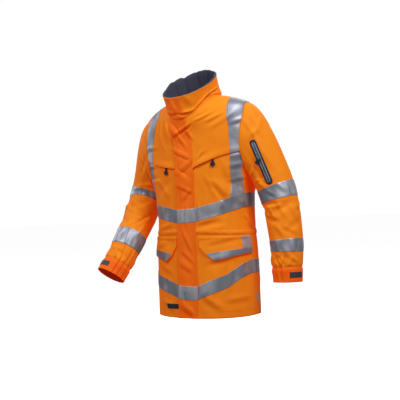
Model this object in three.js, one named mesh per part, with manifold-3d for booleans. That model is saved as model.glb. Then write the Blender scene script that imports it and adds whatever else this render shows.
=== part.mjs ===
// High-visibility work jacket, filled out as if worn, with no wearer in it.
// Millimetres. +Z is up, the front faces -Y and the wearer's left is +X.
// The origin is on the body's centre line, level with the side neck points.
import * as THREE from "three";
import Module from "manifold-3d";

const wasm = await Module();
wasm.setup();

// Cloth walls and the play between sewn pieces
const CLOTH = 2.0;
const TAPE = 1.0;
const GAP = 0.3;
const SEAM = 0.15;        // each piece stops this far short of its seam line

// How finely the cloth is cut into facets
const FRONT_COLUMNS = 16;     // across the whole front, even so that one runs down the middle
const BACK_COLUMNS = 16;
const ARM_STEPS = 10;         // rows along each armhole, and half the columns round a sleeve
const COLLAR_COLUMNS = FRONT_COLUMNS + BACK_COLUMNS;
const CUFF_COLUMNS = 40;

// Body rings from hem (t 0) to neck (t 1): levels at the side, front and back, half width,
// depth to the front and to the back, and how far the ring's middle lies behind the origin
const BODY = [
  { t: 0.00, side: -820, front: -824, back: -818, half: 203, fore: 150, aft: 138, mid: 0 },
  { t: 0.14, side: -690, front: -692, back: -688, half: 202, fore: 150, aft: 134, mid: 0 },
  { t: 0.28, side: -560, front: -562, back: -558, half: 199, fore: 149, aft: 128, mid: 0 },
  { t: 0.38, side: -466, front: -467, back: -464, half: 192, fore: 146, aft: 122, mid: -2 },
  { t: 0.48, side: -378, front: -378, back: -376, half: 197, fore: 145, aft: 124, mid: -5 },
  { t: 0.60, side: -288, front: -296, back: -290, half: 211, fore: 142, aft: 130, mid: -10 },
  { t: 0.70, side: -196, front: -226, back: -206, half: 224, fore: 138, aft: 132, mid: -14 },
  { t: 0.79, side: -110, front: -168, back: -128, half: 230, fore: 133, aft: 130, mid: -20 },
  { t: 0.86, side: -50, front: -130, back: -70, half: 214, fore: 128, aft: 124, mid: -30 },
  { t: 0.93, side: -18, front: -106, back: -28, half: 156, fore: 118, aft: 110, mid: -48 },
  { t: 1.00, side: 0, front: -84, back: 12, half: 98, fore: 104, aft: 98, mid: -66 },
];
const RING_POWER = 2.35;          // 2 is an ellipse, more is squarer
const SHOULDER_LEAN = 20;         // the left shoulder is up and the right one down by this
const SHOULDER_AT = 220;          // at this distance from the middle

// Armholes: lowest and highest ring they reach, and their half width as an angle
const ARM_LOW = 0.575;
const ARM_TOP = 0.865;
const ARM_HALF = THREE.MathUtils.degToRad(21.5);

// Sleeve centre lines from armhole (s 0) to cuff edge (s 1), with half width across and in depth
const SLEEVE_LEFT = [
  { s: 0.00, x: 206, y: -14, z: -140, across: 86, deep: 86 },
  { s: 0.20, x: 246, y: 2, z: -230, across: 78, deep: 80 },
  { s: 0.42, x: 290, y: 14, z: -342, across: 70, deep: 72 },
  { s: 0.58, x: 314, y: 14, z: -432, across: 67, deep: 67 },
  { s: 0.80, x: 332, y: 6, z: -560, across: 61, deep: 61 },
  { s: 0.92, x: 333, y: 2, z: -632, across: 58, deep: 57 },
  { s: 1.00, x: 334, y: 0, z: -696, across: 55, deep: 54 },
];
const SLEEVE_RIGHT = [
  { s: 0.00, x: -205, y: -16, z: -166, across: 80, deep: 86 },
  { s: 0.20, x: -248, y: 16, z: -254, across: 74, deep: 80 },
  { s: 0.42, x: -281, y: 18, z: -354, across: 66, deep: 70 },
  { s: 0.58, x: -290, y: -30, z: -440, across: 64, deep: 64 },
  { s: 0.80, x: -302, y: -110, z: -548, across: 58, deep: 58 },
  { s: 0.92, x: -318, y: -152, z: -614, across: 56, deep: 56 },
  { s: 1.00, x: -333, y: -184, z: -664, across: 57, deep: 57 },
];
const HEAD_END = 0.36;            // the sleeve head runs from the armhole to this ring
const HEAD_PULL = 0.62;           // how far the head swells straight out of the armhole
const HEAD_DROP = 0.88;           // and how straight it runs into the first plain ring
const CUFF_SEAM = 0.933;

// Collar: its top ring, tipped forward, and the padded lining inside it
const COLLAR = { level: 52, tipY: 0.568, tipX: 0.067, half: 101, fore: 98, aft: 96, mid: -98 };
const COLLAR_POWER = 2.2;
const LINING = 5.0;               // thickness of the padded lining
const LINING_RISE = 0.035;        // it rolls up past the collar's edge by this share of its height

// Large soft folds: middle of the fold as an angle and a level (t or s), slant in degrees from
// level, length and width, and depth outward (+) or inward (-)
const BODY_FOLDS = [
  { at: -52, t: 0.400, slant: 14, long: 150, wide: 62, deep: -5 },
  { at: -28, t: 0.545, slant: -38, long: 130, wide: 58, deep: -5 },
  { at: -128, t: 0.555, slant: 34, long: 120, wide: 56, deep: -5 },
  { at: -122, t: 0.300, slant: -16, long: 130, wide: 60, deep: -4 },
  { at: -60, t: 0.130, slant: 72, long: 190, wide: 74, deep: 5 },
  { at: -138, t: 0.120, slant: 98, long: 180, wide: 76, deep: 5 },
  { at: 62, t: 0.430, slant: -12, long: 180, wide: 66, deep: -6 },
  { at: 118, t: 0.420, slant: 14, long: 170, wide: 64, deep: -6 },
  { at: 90, t: 0.620, slant: 84, long: 200, wide: 80, deep: -5 },
  { at: 50, t: 0.120, slant: 80, long: 190, wide: 78, deep: 5 },
  { at: 132, t: 0.140, slant: 96, long: 200, wide: 76, deep: 5 },
];
const LEFT_FOLDS = [
  { at: 62, s: 0.575, slant: 22, long: 110, wide: 34, deep: -5 },
  { at: 118, s: 0.630, slant: -18, long: 90, wide: 32, deep: -5 },
  { at: 30, s: 0.690, slant: 30, long: 100, wide: 34, deep: -4 },
  { at: 168, s: 0.560, slant: 8, long: 100, wide: 34, deep: -6 },
  { at: -78, s: 0.620, slant: -20, long: 110, wide: 36, deep: -5 },
  { at: 96, s: 0.885, slant: 14, long: 90, wide: 30, deep: -4 },
  { at: -100, s: 0.330, slant: 50, long: 120, wide: 44, deep: -4 },
];
const RIGHT_FOLDS = [
  { at: 96, s: 0.560, slant: -20, long: 110, wide: 34, deep: -6 },
  { at: 150, s: 0.620, slant: 14, long: 90, wide: 32, deep: -5 },
  { at: 60, s: 0.670, slant: 24, long: 100, wide: 34, deep: -5 },
  { at: 20, s: 0.880, slant: -12, long: 90, wide: 30, deep: -4 },
  { at: 128, s: 0.890, slant: 16, long: 90, wide: 28, deep: -4 },
  { at: -80, s: 0.570, slant: 16, long: 120, wide: 36, deep: -5 },
  { at: -110, s: 0.320, slant: -44, long: 120, wide: 44, deep: -4 },
];
const BODY_REACH = 190;           // mean radius, turns an angle on the body into millimetres
const SLEEVE_REACH = 64;
const SLEEVE_LENGTH = 620;
const BODY_HEIGHT = 830;

// Outlines seen square on from the front, as x across and z up
const YOKE_LINE = [
  { x: -260, z: -226 }, { x: -199, z: -226 }, { x: -161, z: -240 }, { x: -115, z: -252 },
  { x: -59, z: -262 }, { x: 0, z: -270 }, { x: 36, z: -265 }, { x: 59, z: -254 },
  { x: 103, z: -237 }, { x: 137, z: -224 }, { x: 173, z: -215 }, { x: 199, z: -207 },
  { x: 260, z: -203 },
];
const YOKE_OVER = 25;             // the lower front runs this far up behind the yoke
const PLACKET = [
  { z: -840, from: -46, to: 34 }, { z: -606, from: -39, to: 36 }, { z: -411, from: -38, to: 34 },
  { z: -306, from: -37, to: 34 }, { z: -200, from: -38, to: 34 }, { z: -149, from: -41, to: 30 },
  { z: -108, from: -46, to: 22 }, { z: -87, from: -50, to: 17 },
];
const COLLAR_PLACKET = [
  { z: -120, from: -50, to: 17 }, { z: -84, from: -50, to: 17 }, { z: 20, from: -62, to: 4 },
];
const CHEST_LEVEL = [
  { x: -260, z: -386 }, { x: -205, z: -388 }, { x: -176, z: -394 }, { x: -40, z: -419 },
  { x: 31, z: -415 }, { x: 108, z: -397 }, { x: 165, z: -377 }, { x: 198, z: -362 },
  { x: 260, z: -360 },
];
const HEM_LEVEL = [
  { x: -260, z: -640 }, { x: -205, z: -645 }, { x: -169, z: -661 }, { x: -102, z: -680 },
  { x: -40, z: -702 }, { x: 31, z: -706 }, { x: 146, z: -660 }, { x: 201, z: -612 },
  { x: 260, z: -610 },
];
const HOOP = 50;                  // width of every reflective tape
const BACK_CHEST = [{ x: -260, z: -386 }, { x: 260, z: -360 }];
const BACK_HEM = [{ x: -260, z: -640 }, { x: 260, z: -610 }];
// Braces: inner and outer edge at each level, and how far round to the side they reach
const BRACE_LEFT = [
  { z: -440, near: 160, far: 260, y: -44 }, { z: -365, near: 162, far: 260, y: -46 },
  { z: -290, near: 167, far: 260, y: -72 }, { z: -205, near: 171, far: 260, y: -80 },
  { z: -120, near: 172, far: 222, y: -60 }, { z: -60, near: 166, far: 214, y: 60 },
  { z: 40, near: 157, far: 206, y: 60 },
];
const BRACE_RIGHT = [
  { z: -440, near: -168, far: -260, y: -46 }, { z: -320, near: -168, far: -260, y: -58 },
  { z: -240, near: -161, far: -260, y: -80 }, { z: -175, near: -152, far: -202, y: -60 },
  { z: -120, near: -138, far: -188, y: -60 }, { z: -69, near: -122, far: -172, y: 60 },
  { z: 40, near: -114, far: -164, y: 60 },
];
const BRACE_BACK = [
  { z: -440, near: 116, far: 166, y: -60 }, { z: -200, near: 124, far: 174, y: -60 },
  { z: -80, near: 148, far: 198, y: -60 }, { z: 60, near: 157, far: 206, y: -60 },
];
const BRACE_BACK_RIGHT = [
  { z: -440, near: -116, far: -166, y: -60 }, { z: -200, near: -120, far: -170, y: -60 },
  { z: -80, near: -118, far: -168, y: -60 }, { z: 60, near: -114, far: -164, y: -60 },
];
const WAIST = [
  { x: -260, z: -499 }, { x: -200, z: -498 }, { x: -40, z: -490 }, { x: 40, z: -490 },
  { x: 200, z: -499 }, { x: 260, z: -499 },
];
const WAIST_HIGH = 20;
const WAIST_THICK = 1.2;
const FLAP_LEFT = [
  { x: 47, z: -521 }, { x: 48, z: -558 }, { x: 74, z: -588 }, { x: 105, z: -609 },
  { x: 230, z: -578 }, { x: 230, z: -521 },
];
const FLAP_RIGHT = [
  { x: -51, z: -521 }, { x: -52, z: -556 }, { x: -72, z: -590 }, { x: -101, z: -613 },
  { x: -230, z: -582 }, { x: -230, z: -521 },
];
const FLAP_BACK = -22;            // the flaps stop this far in front of the side seam
const FLAP_TAPE_TOP = { near: -583, far: -568, from: 76, to: 186 };
const LABEL = { from: -107, to: -52, low: -790, high: -772, thick: 0.7 };
const TAG = { low: -772, high: -746, out: 7, thick: 0.8 };

// Zip sliders and pulls
const SLIDER = { wide: 8, high: 9, thick: 2.4 };
const EYE = { bar: 0.7, hole: 1.1, rim: 1.9, above: 2.9, wide: 3.2, ear: 1.3 };
const PULL = { wide: 18, long: 26, thick: 1.8 };
const CHEST_PULLS = [
  { name: "left", x: 112, z: -240 },
  { name: "right", x: -86, z: -264 },
];
const SLEEVE_ZIP = {
  top: { theta: 67, s: 0.150 }, end: { theta: 76, s: 0.392 },
  wide: 24, long: 176, slot: 10, thick: 1.8, tape: 0.8, slider: 0.44,
  swivel: -58,                    // its pull hangs down beside the zip, this far off its run
};

// Colours, roughness and metalness
const ORANGE = { color: 0xee7d1e, roughness: 0.78, metalness: 0 };
const SILVER = { color: 0x9a9ca4, roughness: 0.5, metalness: 0.1 };
const NAVY = { color: 0x3c4155, roughness: 0.85, metalness: 0 };
const BLACK = { color: 0x262a36, roughness: 0.5, metalness: 0 };
const GREY = { color: 0x6f7484, roughness: 0.7, metalness: 0 };
const TAB_GREY = { color: 0x41454c, roughness: 0.7, metalness: 0 };
const PALE = { color: 0xbfd6d4, roughness: 0.8, metalness: 0 };

const rad = THREE.MathUtils.degToRad;
const smooth = (x) => {
  const q = Math.min(1, Math.max(0, x));
  return q * q * (3 - 2 * q);
};

// Cubic curve through a table's rows, by its first column
function along(table, key, at) {
  const last = table.length - 1;
  const slope = (name, i) => {
    const a = table[Math.max(0, i - 1)], b = table[Math.min(last, i + 1)];
    return (b[name] - a[name]) / (b[key] - a[key]);
  };
  let i = 0;
  while (i < last - 1 && at >= table[i + 1][key]) i += 1;
  const h = table[i + 1][key] - table[i][key];
  const q = (at - table[i][key]) / h;
  const row = {};
  for (const name of Object.keys(table[0])) {
    if (name === key) continue;
    row[name] = (2 * q ** 3 - 3 * q ** 2 + 1) * table[i][name]
      + (q ** 3 - 2 * q ** 2 + q) * h * slope(name, i)
      + (3 * q ** 2 - 2 * q ** 3) * table[i + 1][name]
      + (q ** 3 - q ** 2) * h * slope(name, i + 1);
  }
  return row;
}

// Straight run through a table's rows, by x or z
function level(table, key, name, at) {
  let i = 0;
  while (i < table.length - 2 && at >= table[i + 1][key]) i += 1;
  const a = table[i], b = table[i + 1];
  return a[name] + (b[name] - a[name]) * (at - a[key]) / (b[key] - a[key]);
}

// How far the folds push a point out, at an angle and a level in millimetres
function folds(table, key, angle, at, reach, height) {
  let push = 0;
  for (const fold of table) {
    let turn = THREE.MathUtils.radToDeg(angle) - fold.at;
    turn -= 360 * Math.round(turn / 360);
    const u = rad(turn) * reach, v = (at - fold[key]) * height;
    const c = Math.cos(rad(fold.slant)), s = Math.sin(rad(fold.slant));
    const run = (u * c + v * s) / (fold.long / 2), off = (v * c - u * s) / (fold.wide / 2);
    if (Math.abs(run) < 1.5 && Math.abs(off) < 1.5) {
      push += fold.deep * Math.exp(-1.6 * run * run - 1.6 * off * off);
    }
  }
  return push;
}

// Outer surface of the body. Angle -90 degrees is the middle of the front, 0 the left side.
function body(angle, t) {
  const r = along(BODY, "t", t);
  const c = Math.cos(angle), s = Math.sin(angle);
  const depth = s < 0 ? r.fore : r.aft;
  let reach = (Math.abs(c / r.half) ** RING_POWER + Math.abs(s / depth) ** RING_POWER)
    ** (-1 / RING_POWER);
  const x = reach * c;
  const share = (x / r.half) ** 2;
  let z = (s < 0 ? r.front : r.back) * (1 - share) + r.side * share;
  z += SHOULDER_LEAN * smooth((z + 500) / 400) * x / SHOULDER_AT;
  reach += folds(BODY_FOLDS, "t", angle, t, BODY_REACH, BODY_HEIGHT) * smooth((0.85 - t) / 0.1);
  return new THREE.Vector3(reach * c, reach * s + r.mid, z);
}

// Half width of the armhole at a ring, as an angle
function armHalf(t) {
  const m = (ARM_LOW + ARM_TOP) / 2, h = (ARM_TOP - ARM_LOW) / 2;
  return ARM_HALF * Math.sqrt(Math.max(0, 1 - ((t - m) / h) ** 2));
}

// The armhole seam. Theta 0 is its top and it runs to the front first.
function armhole(theta, side) {
  const t = (ARM_LOW + ARM_TOP) / 2 + (ARM_TOP - ARM_LOW) / 2 * Math.cos(theta);
  const half = ARM_HALF * Math.sin(theta);
  return side > 0 ? body(-half, t) : body(Math.PI + half, t);
}

// A plain sleeve ring and the direction of its centre line
function sleeveRing(theta, s, side) {
  const table = side > 0 ? SLEEVE_LEFT : SLEEVE_RIGHT;
  const row = along(table, "s", s);
  const a = along(table, "s", Math.max(0, s - 0.01)), b = along(table, "s", Math.min(1, s + 0.01));
  const run = new THREE.Vector3(b.x - a.x, b.y - a.y, b.z - a.z).normalize();
  const out = new THREE.Vector3(side, 0, 0);
  out.addScaledVector(run, -out.dot(run)).normalize();
  const front = new THREE.Vector3().crossVectors(run, out);
  if (front.y > 0) front.negate();
  const push = folds(side > 0 ? LEFT_FOLDS : RIGHT_FOLDS, "s", theta, s, SLEEVE_REACH, SLEEVE_LENGTH)
    * smooth((0.925 - s) / 0.04);
  const point = new THREE.Vector3(row.x, row.y, row.z)
    .addScaledVector(out, (row.across + push) * Math.cos(theta))
    .addScaledVector(front, (row.deep + push) * Math.sin(theta));
  return { point, run };
}

// Outer surface of a sleeve. Theta 0 is outward and it runs to the front first.
function sleeve(theta, s, side) {
  const { point, run } = sleeveRing(theta, Math.max(s, HEAD_END), side);
  if (s >= HEAD_END) return point;
  const hole = armhole(theta, side);
  const chord = point.distanceTo(hole);
  const top = (1 + Math.cos(theta)) / 2;
  const leave = new THREE.Vector3(side * (0.62 + 0.30 * top), -0.25 * Math.sin(theta),
    -0.75 + 0.35 * top).setLength(chord * HEAD_PULL);
  const q = s / HEAD_END;
  return new THREE.Vector3()
    .addScaledVector(hole, 2 * q ** 3 - 3 * q ** 2 + 1)
    .addScaledVector(leave, q ** 3 - 2 * q ** 2 + q)
    .addScaledVector(point, 3 * q ** 2 - 2 * q ** 3)
    .addScaledVector(run, (q ** 3 - q ** 2) * chord * HEAD_DROP);
}

// Outer surface of the collar, from the neck ring (s 0) to its tipped top ring (s 1)
function collar(angle, s) {
  const c = Math.cos(angle), n = Math.sin(angle);
  const depth = n < 0 ? COLLAR.fore : COLLAR.aft;
  const reach = (Math.abs(c / COLLAR.half) ** COLLAR_POWER + Math.abs(n / depth) ** COLLAR_POWER)
    ** (-1 / COLLAR_POWER);
  const x = reach * c, y = reach * n;
  const top = new THREE.Vector3(x, y + COLLAR.mid, COLLAR.level + COLLAR.tipY * y + COLLAR.tipX * x);
  return body(angle, 1).lerp(top, s);
}

// A grid of surface points with outward normals, one row for each level
function grid(surface, columns, rows, turn = 1, wrap = false) {
  const step = 1e-3;
  const points = [], normals = [];
  for (const v of rows) {
    const across = typeof columns === "function" ? columns(v) : columns;
    const low = Math.max(rows[0], v - step), high = Math.min(rows[rows.length - 1], v + step);
    points.push(across.map((u) => surface(u, v)));
    normals.push(across.map((u) => {
      const du = surface(u + step, v).sub(surface(u - step, v));
      const dv = surface(u, high).sub(surface(u, low));
      return du.cross(dv).multiplyScalar(turn).normalize();
    }));
  }
  return { points, normals, wrap };
}

// Pull the open edges of a grid in, so that neighbours stay clear of each other
function trim(g, { sides = 0, low = 0, high = 0 }) {
  const move = (a, b, by) => a.add(b.clone().sub(a).setLength(by));
  const last = g.points.length - 1;
  if (low) g.points[0].forEach((p, i) => move(p, g.points[1][i], low));
  if (high) g.points[last].forEach((p, i) => move(p, g.points[last - 1][i], high));
  if (sides) {
    for (const row of g.points) {
      move(row[0], row[1], sides);
      move(row[row.length - 1], row[row.length - 2], sides);
    }
  }
  return g;
}

const value = (part, j, i, p) => (typeof part === "function" ? part(p, j, i) : part);

// A closed wall between two distances from a grid's surface
function wall(g, inner, outer) {
  const rows = g.points.length, cols = g.points[0].length;
  const vertices = [];
  for (const part of [outer, inner]) {
    for (let j = 0; j < rows; j += 1) {
      for (let i = 0; i < cols; i += 1) {
        const p = g.points[j][i], n = g.normals[j][i], by = value(part, j, i, p);
        vertices.push(p.x + n.x * by, p.y + n.y * by, p.z + n.z * by);
      }
    }
  }
  const faces = [];
  const id = (layer, j, i) => layer * rows * cols + j * cols + (i % cols);
  const quad = (a, b, c, d) => faces.push(a, b, c, a, c, d);
  const across = g.wrap ? cols : cols - 1;
  for (let j = 0; j < rows - 1; j += 1) {
    for (let i = 0; i < across; i += 1) {
      quad(id(0, j, i), id(0, j, i + 1), id(0, j + 1, i + 1), id(0, j + 1, i));
      faces.push(id(1, j, i), id(1, j + 1, i + 1), id(1, j, i + 1),
        id(1, j, i), id(1, j + 1, i), id(1, j + 1, i + 1));
    }
  }
  for (let i = 0; i < across; i += 1) {
    quad(id(0, 0, i), id(1, 0, i), id(1, 0, i + 1), id(0, 0, i + 1));
    quad(id(0, rows - 1, i), id(0, rows - 1, i + 1), id(1, rows - 1, i + 1), id(1, rows - 1, i));
  }
  if (!g.wrap) {
    for (let j = 0; j < rows - 1; j += 1) {
      quad(id(0, j, 0), id(0, j + 1, 0), id(1, j + 1, 0), id(1, j, 0));
      quad(id(0, j, cols - 1), id(1, j, cols - 1), id(1, j + 1, cols - 1), id(0, j + 1, cols - 1));
    }
  }
  return solid(vertices, faces);
}

// A closed solid from corners and faces, turned so that its faces point out
function solid(vertices, faces) {
  let volume = 0;
  const a = new THREE.Vector3(), b = new THREE.Vector3(), c = new THREE.Vector3();
  for (let k = 0; k < faces.length; k += 3) {
    a.fromArray(vertices, 3 * faces[k]);
    b.fromArray(vertices, 3 * faces[k + 1]);
    c.fromArray(vertices, 3 * faces[k + 2]);
    volume += a.dot(b.cross(c));
  }
  if (volume < 0) {
    for (let k = 0; k < faces.length; k += 3) [faces[k + 1], faces[k + 2]] = [faces[k + 2], faces[k + 1]];
  }
  return new wasm.Manifold(new wasm.Mesh({
    numProp: 3,
    vertProperties: new Float32Array(vertices),
    triVerts: new Uint32Array(faces),
  }));
}

// A block with a flat outline of u and v, drawn out between two depths; at(u, v, w) places it
function block(outline, low, high, at) {
  const contour = outline.map(([u, v]) => new THREE.Vector2(u, v));
  if (THREE.ShapeUtils.isClockWise(contour)) contour.reverse();
  const count = contour.length;
  const vertices = [], faces = [];
  for (const w of [low, high]) for (const p of contour) vertices.push(...at(p.x, p.y, w));
  for (const [i, j, k] of THREE.ShapeUtils.triangulateShape(contour, [])) {
    faces.push(i, k, j, i + count, j + count, k + count);
  }
  for (let i = 0; i < count; i += 1) {
    const j = (i + 1) % count;
    faces.push(i, j, j + count, i, j + count, i + count);
  }
  return solid(vertices, faces);
}
const facing = (outline, low = -400, high = 400) => block(outline, low, high, (x, z, y) => [x, y, z]);
const box = (x0, x1, y0, y1, z0, z1) => facing([[x0, z0], [x1, z0], [x1, z1], [x0, z1]], y0, y1);

// Outlines from the tables
const hoop = (table, high = HOOP) => facing([
  ...table.map((r) => [r.x, r.z]), ...[...table].reverse().map((r) => [r.x, r.z - high])]);
const strip = (table) => facing([
  ...table.map((r) => [r.near, r.z]), ...[...table].reverse().map((r) => [r.far, r.z])]);
const ahead = (table) => block([...table.map((r) => [r.y, r.z]), [-400, 40], [-400, -440]], -300, 300,
  (y, z, x) => [x, y, z]);
const flapOutline = (table, more) => facing([
  ...table.map((r) => [r.from - more, r.z]), ...[...table].reverse().map((r) => [r.to + more, r.z])]);
const above = (table, by) => facing([...table.map((r) => [r.x, r.z + by]), [260, 200], [-260, 200]]);
const below = (table, by) => facing([...table.map((r) => [r.x, r.z + by]), [260, -900], [-260, -900]]);

// Body rows: plain below the armhole, then in step with the sleeve's columns, then to the neck
const armRows = Array.from({ length: ARM_STEPS + 1 }, (_, k) => (ARM_LOW + ARM_TOP) / 2
  - (ARM_TOP - ARM_LOW) / 2 * Math.cos(Math.PI * k / ARM_STEPS));
const bodyRows = [0, 0.09, 0.17, 0.25, 0.32, 0.39, 0.46, 0.52, ...armRows, 0.90, 0.95, 1];
const frontAngles = (t) => Array.from({ length: FRONT_COLUMNS + 1 }, (_, k) => {
  const u = 2 * k / FRONT_COLUMNS - 1;
  return -Math.PI / 2 + u * (Math.PI / 2 - armHalf(t));
});
const backAngles = (t) => Array.from({ length: BACK_COLUMNS + 1 }, (_, k) => {
  const u = 2 * k / BACK_COLUMNS - 1;
  return Math.PI / 2 + u * (Math.PI / 2 - armHalf(t));
});
const front = trim(grid(body, frontAngles, bodyRows), { sides: SEAM, high: SEAM });
const back = trim(grid(body, backAngles, bodyRows), { sides: SEAM, high: SEAM });

const group = new THREE.Group();
function add(name, shape, look, matrix) {
  const mesh = shape.getMesh();
  const geometry = new THREE.BufferGeometry();
  geometry.setAttribute("position", new THREE.BufferAttribute(new Float32Array(mesh.vertProperties), 3));
  geometry.setIndex(new THREE.BufferAttribute(new Uint32Array(mesh.triVerts), 1));
  const item = new THREE.Mesh(geometry, new THREE.MeshStandardMaterial(look));
  item.name = name;
  if (matrix) item.applyMatrix4(matrix);
  group.add(item);
}

// The largest piece of a cut shape, without slivers
function largest(shape) {
  const parts = shape.decompose();
  return parts.reduce((a, b) => (b.volume() > a.volume() ? b : a));
}

// Fronts. The yoke lies over their top edge, thins in behind it and then makes the wall itself.
const leftHalf = box(SEAM, 300, -400, 400, -900, 200);
const rightHalf = box(-300, -SEAM, -400, 400, -900, 200);
const yokeFoot = (p) => p.z - level(YOKE_LINE, "x", "z", p.x);
const yokeLift = (p) => (CLOTH + GAP) * (1 - smooth((yokeFoot(p) - 70) / 70));
const frontWall = wall(front, -CLOTH, 0).intersect(below(YOKE_LINE, YOKE_OVER));
const yokeWall = wall(front, (p) => yokeLift(p) - CLOTH, yokeLift).intersect(above(YOKE_LINE, 0));
add("front_left", largest(frontWall.intersect(leftHalf)), ORANGE);
add("front_right", largest(frontWall.intersect(rightHalf)), ORANGE);
add("yoke_left", largest(yokeWall.intersect(leftHalf)), ORANGE);
add("yoke_right", largest(yokeWall.intersect(rightHalf)), ORANGE);
add("back", wall(back, -CLOTH, 0), ORANGE);

// Storm flap over the front zip, sewn on the wearer's left, and the zip behind it
const placketLift = (p) => GAP + (CLOTH + GAP) * smooth((yokeFoot(p) + 90) / 45)
  * (1 - smooth((yokeFoot(p) - 70) / 70));
const placketTop = (p) => placketLift(p) + CLOTH;
add("placket", largest(wall(front, placketLift, placketTop).intersect(flapOutline(PLACKET, 0))), ORANGE);
add("front_zip", largest(wall(front, -CLOTH - GAP - 1.2, -CLOTH - GAP)
  .intersect(box(-17, 17, -400, 0, -812, -96))), BLACK);

// Reflective hoops round the chest and above the hem
const skin = (g, thick = TAPE) => wall(g, GAP, GAP + thick);
const clear = flapOutline(PLACKET, GAP);
const chestCut = hoop(CHEST_LEVEL), hemCut = hoop(HEM_LEVEL);
const frontSkin = skin(front).subtract(clear);
const placketSkin = wall(front, (p) => placketTop(p) + GAP, (p) => placketTop(p) + GAP + TAPE)
  .intersect(flapOutline(PLACKET, -0.5));
const halves = [["left", leftHalf, FLAP_LEFT, 1], ["right", rightHalf, FLAP_RIGHT, -1]];
for (const [name, half] of halves) {
  add(`chest_tape_${name}`, largest(frontSkin.intersect(chestCut).intersect(half)), SILVER);
  add(`hem_tape_${name}`, largest(frontSkin.intersect(hemCut).intersect(half)), SILVER);
}
add("chest_tape_placket", largest(placketSkin.intersect(chestCut)), SILVER);
add("hem_tape_placket", largest(placketSkin.intersect(hemCut)), SILVER);
const backChest = hoop(BACK_CHEST), backHem = hoop(BACK_HEM);
add("chest_tape_back", largest(skin(back).intersect(backChest)), SILVER);
add("hem_tape_back", largest(skin(back).intersect(backHem)), SILVER);

// Braces: from the chest hoop up to the yoke, over the yoke to the shoulder, and down the back
const aboveChest = above(CHEST_LEVEL, GAP), underYoke = below(YOKE_LINE, -GAP);
const yokeSkin = wall(front, (p) => yokeLift(p) + GAP, (p) => yokeLift(p) + GAP + TAPE)
  .intersect(above(YOKE_LINE, 0.5));
for (const [name, half, table, rear] of [
  ["left", leftHalf, BRACE_LEFT, BRACE_BACK], ["right", rightHalf, BRACE_RIGHT, BRACE_BACK_RIGHT],
]) {
  const cut = strip(table).intersect(ahead(table)).intersect(half);
  add(`brace_low_${name}`, largest(skin(front).intersect(cut).intersect(aboveChest)
    .intersect(underYoke)), SILVER);
  add(`brace_top_${name}`, largest(yokeSkin.intersect(cut)), SILVER);
  add(`brace_back_${name}`, largest(skin(back).intersect(strip(rear)).intersect(half)
    .intersect(above(BACK_CHEST, GAP))), SILVER);
}

// Casing of the waist cord
const waistCut = hoop(WAIST, WAIST_HIGH);
for (const [name, half] of halves) {
  add(`waist_band_${name}`, largest(skin(front, WAIST_THICK).subtract(clear).intersect(waistCut)
    .intersect(half)), ORANGE);
}
add("waist_band_back", largest(skin(back, WAIST_THICK).intersect(waistCut)), ORANGE);

// Pocket flaps with a reflective strip down the outer edge and along the bottom
const flapTop = GAP + CLOTH;
for (const [name, , outline, side] of halves) {
  const edge = facing(outline.map((r) => [r.x, r.z]), -400, FLAP_BACK);
  add(`pocket_flap_${name}`, largest(wall(front, GAP, flapTop).intersect(edge)), ORANGE);
  const inner = facing(outline.map((r) => [r.x, r.z]), -400, FLAP_BACK - 0.5);
  const upright = box(side > 0 ? 150 : -300, side > 0 ? 300 : -150, -70, 0, -700, -522);
  const k = FLAP_TAPE_TOP;
  const foot = facing([[side * k.from, k.near], [side * k.to, k.far], [side * 260, k.far],
    [side * 260, -700], [side * 60, -700]]);
  add(`flap_tape_${name}`, largest(wall(front, flapTop + GAP, flapTop + GAP + TAPE)
    .intersect(inner).intersect(upright.add(foot))), SILVER);
}

// Bare label near the hem and bare tag in the left side seam
add("hem_label", largest(wall(front, GAP, GAP + LABEL.thick)
  .intersect(box(LABEL.from, LABEL.to, -400, 0, LABEL.low, LABEL.high))), BLACK);
const tagRows = [0.052, 0.085];
const tagGrid = grid(body, [rad(0.15), rad(2.6)], tagRows);
add("side_tag", wall(tagGrid, GAP, GAP + TAG.thick), PALE);

// Sleeves, their tapes and cuffs
const thetas = (count) => Array.from({ length: count }, (_, k) => 2 * Math.PI * k / count);
const SLEEVE_LOOKS = [
  { side: 1, name: "left", tapes: { upper: [0.420, 0.515], lower: [0.770, 0.843] } },
  { side: -1, name: "right", tapes: { upper: [0.382, 0.478], lower: [0.732, 0.832] } },
];
const sleeveGrids = {};
for (const { side, name, tapes } of SLEEVE_LOOKS) {
  const mine = [0, 0.04, 0.09, 0.15, 0.21, 0.28, 0.34, ...tapes.upper, 0.56, 0.61, 0.66, 0.70,
    ...tapes.lower, 0.885, CUFF_SEAM];
  const g = grid((a, s) => sleeve(a, s, side), thetas(2 * ARM_STEPS), mine, side, true);
  trim(g, { low: GAP, high: SEAM });
  sleeveGrids[name] = g;
  add(`sleeve_${name}`, wall(g, -CLOTH, 0), ORANGE);
  for (const [place, [from, to]] of Object.entries(tapes)) {
    const a = mine.indexOf(from), b = mine.indexOf(to) + 1;
    const part = { points: g.points.slice(a, b), normals: g.normals.slice(a, b), wrap: true };
    add(`sleeve_tape_${place}_${name}`, wall(part, GAP, GAP + TAPE), SILVER);
  }
}

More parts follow.
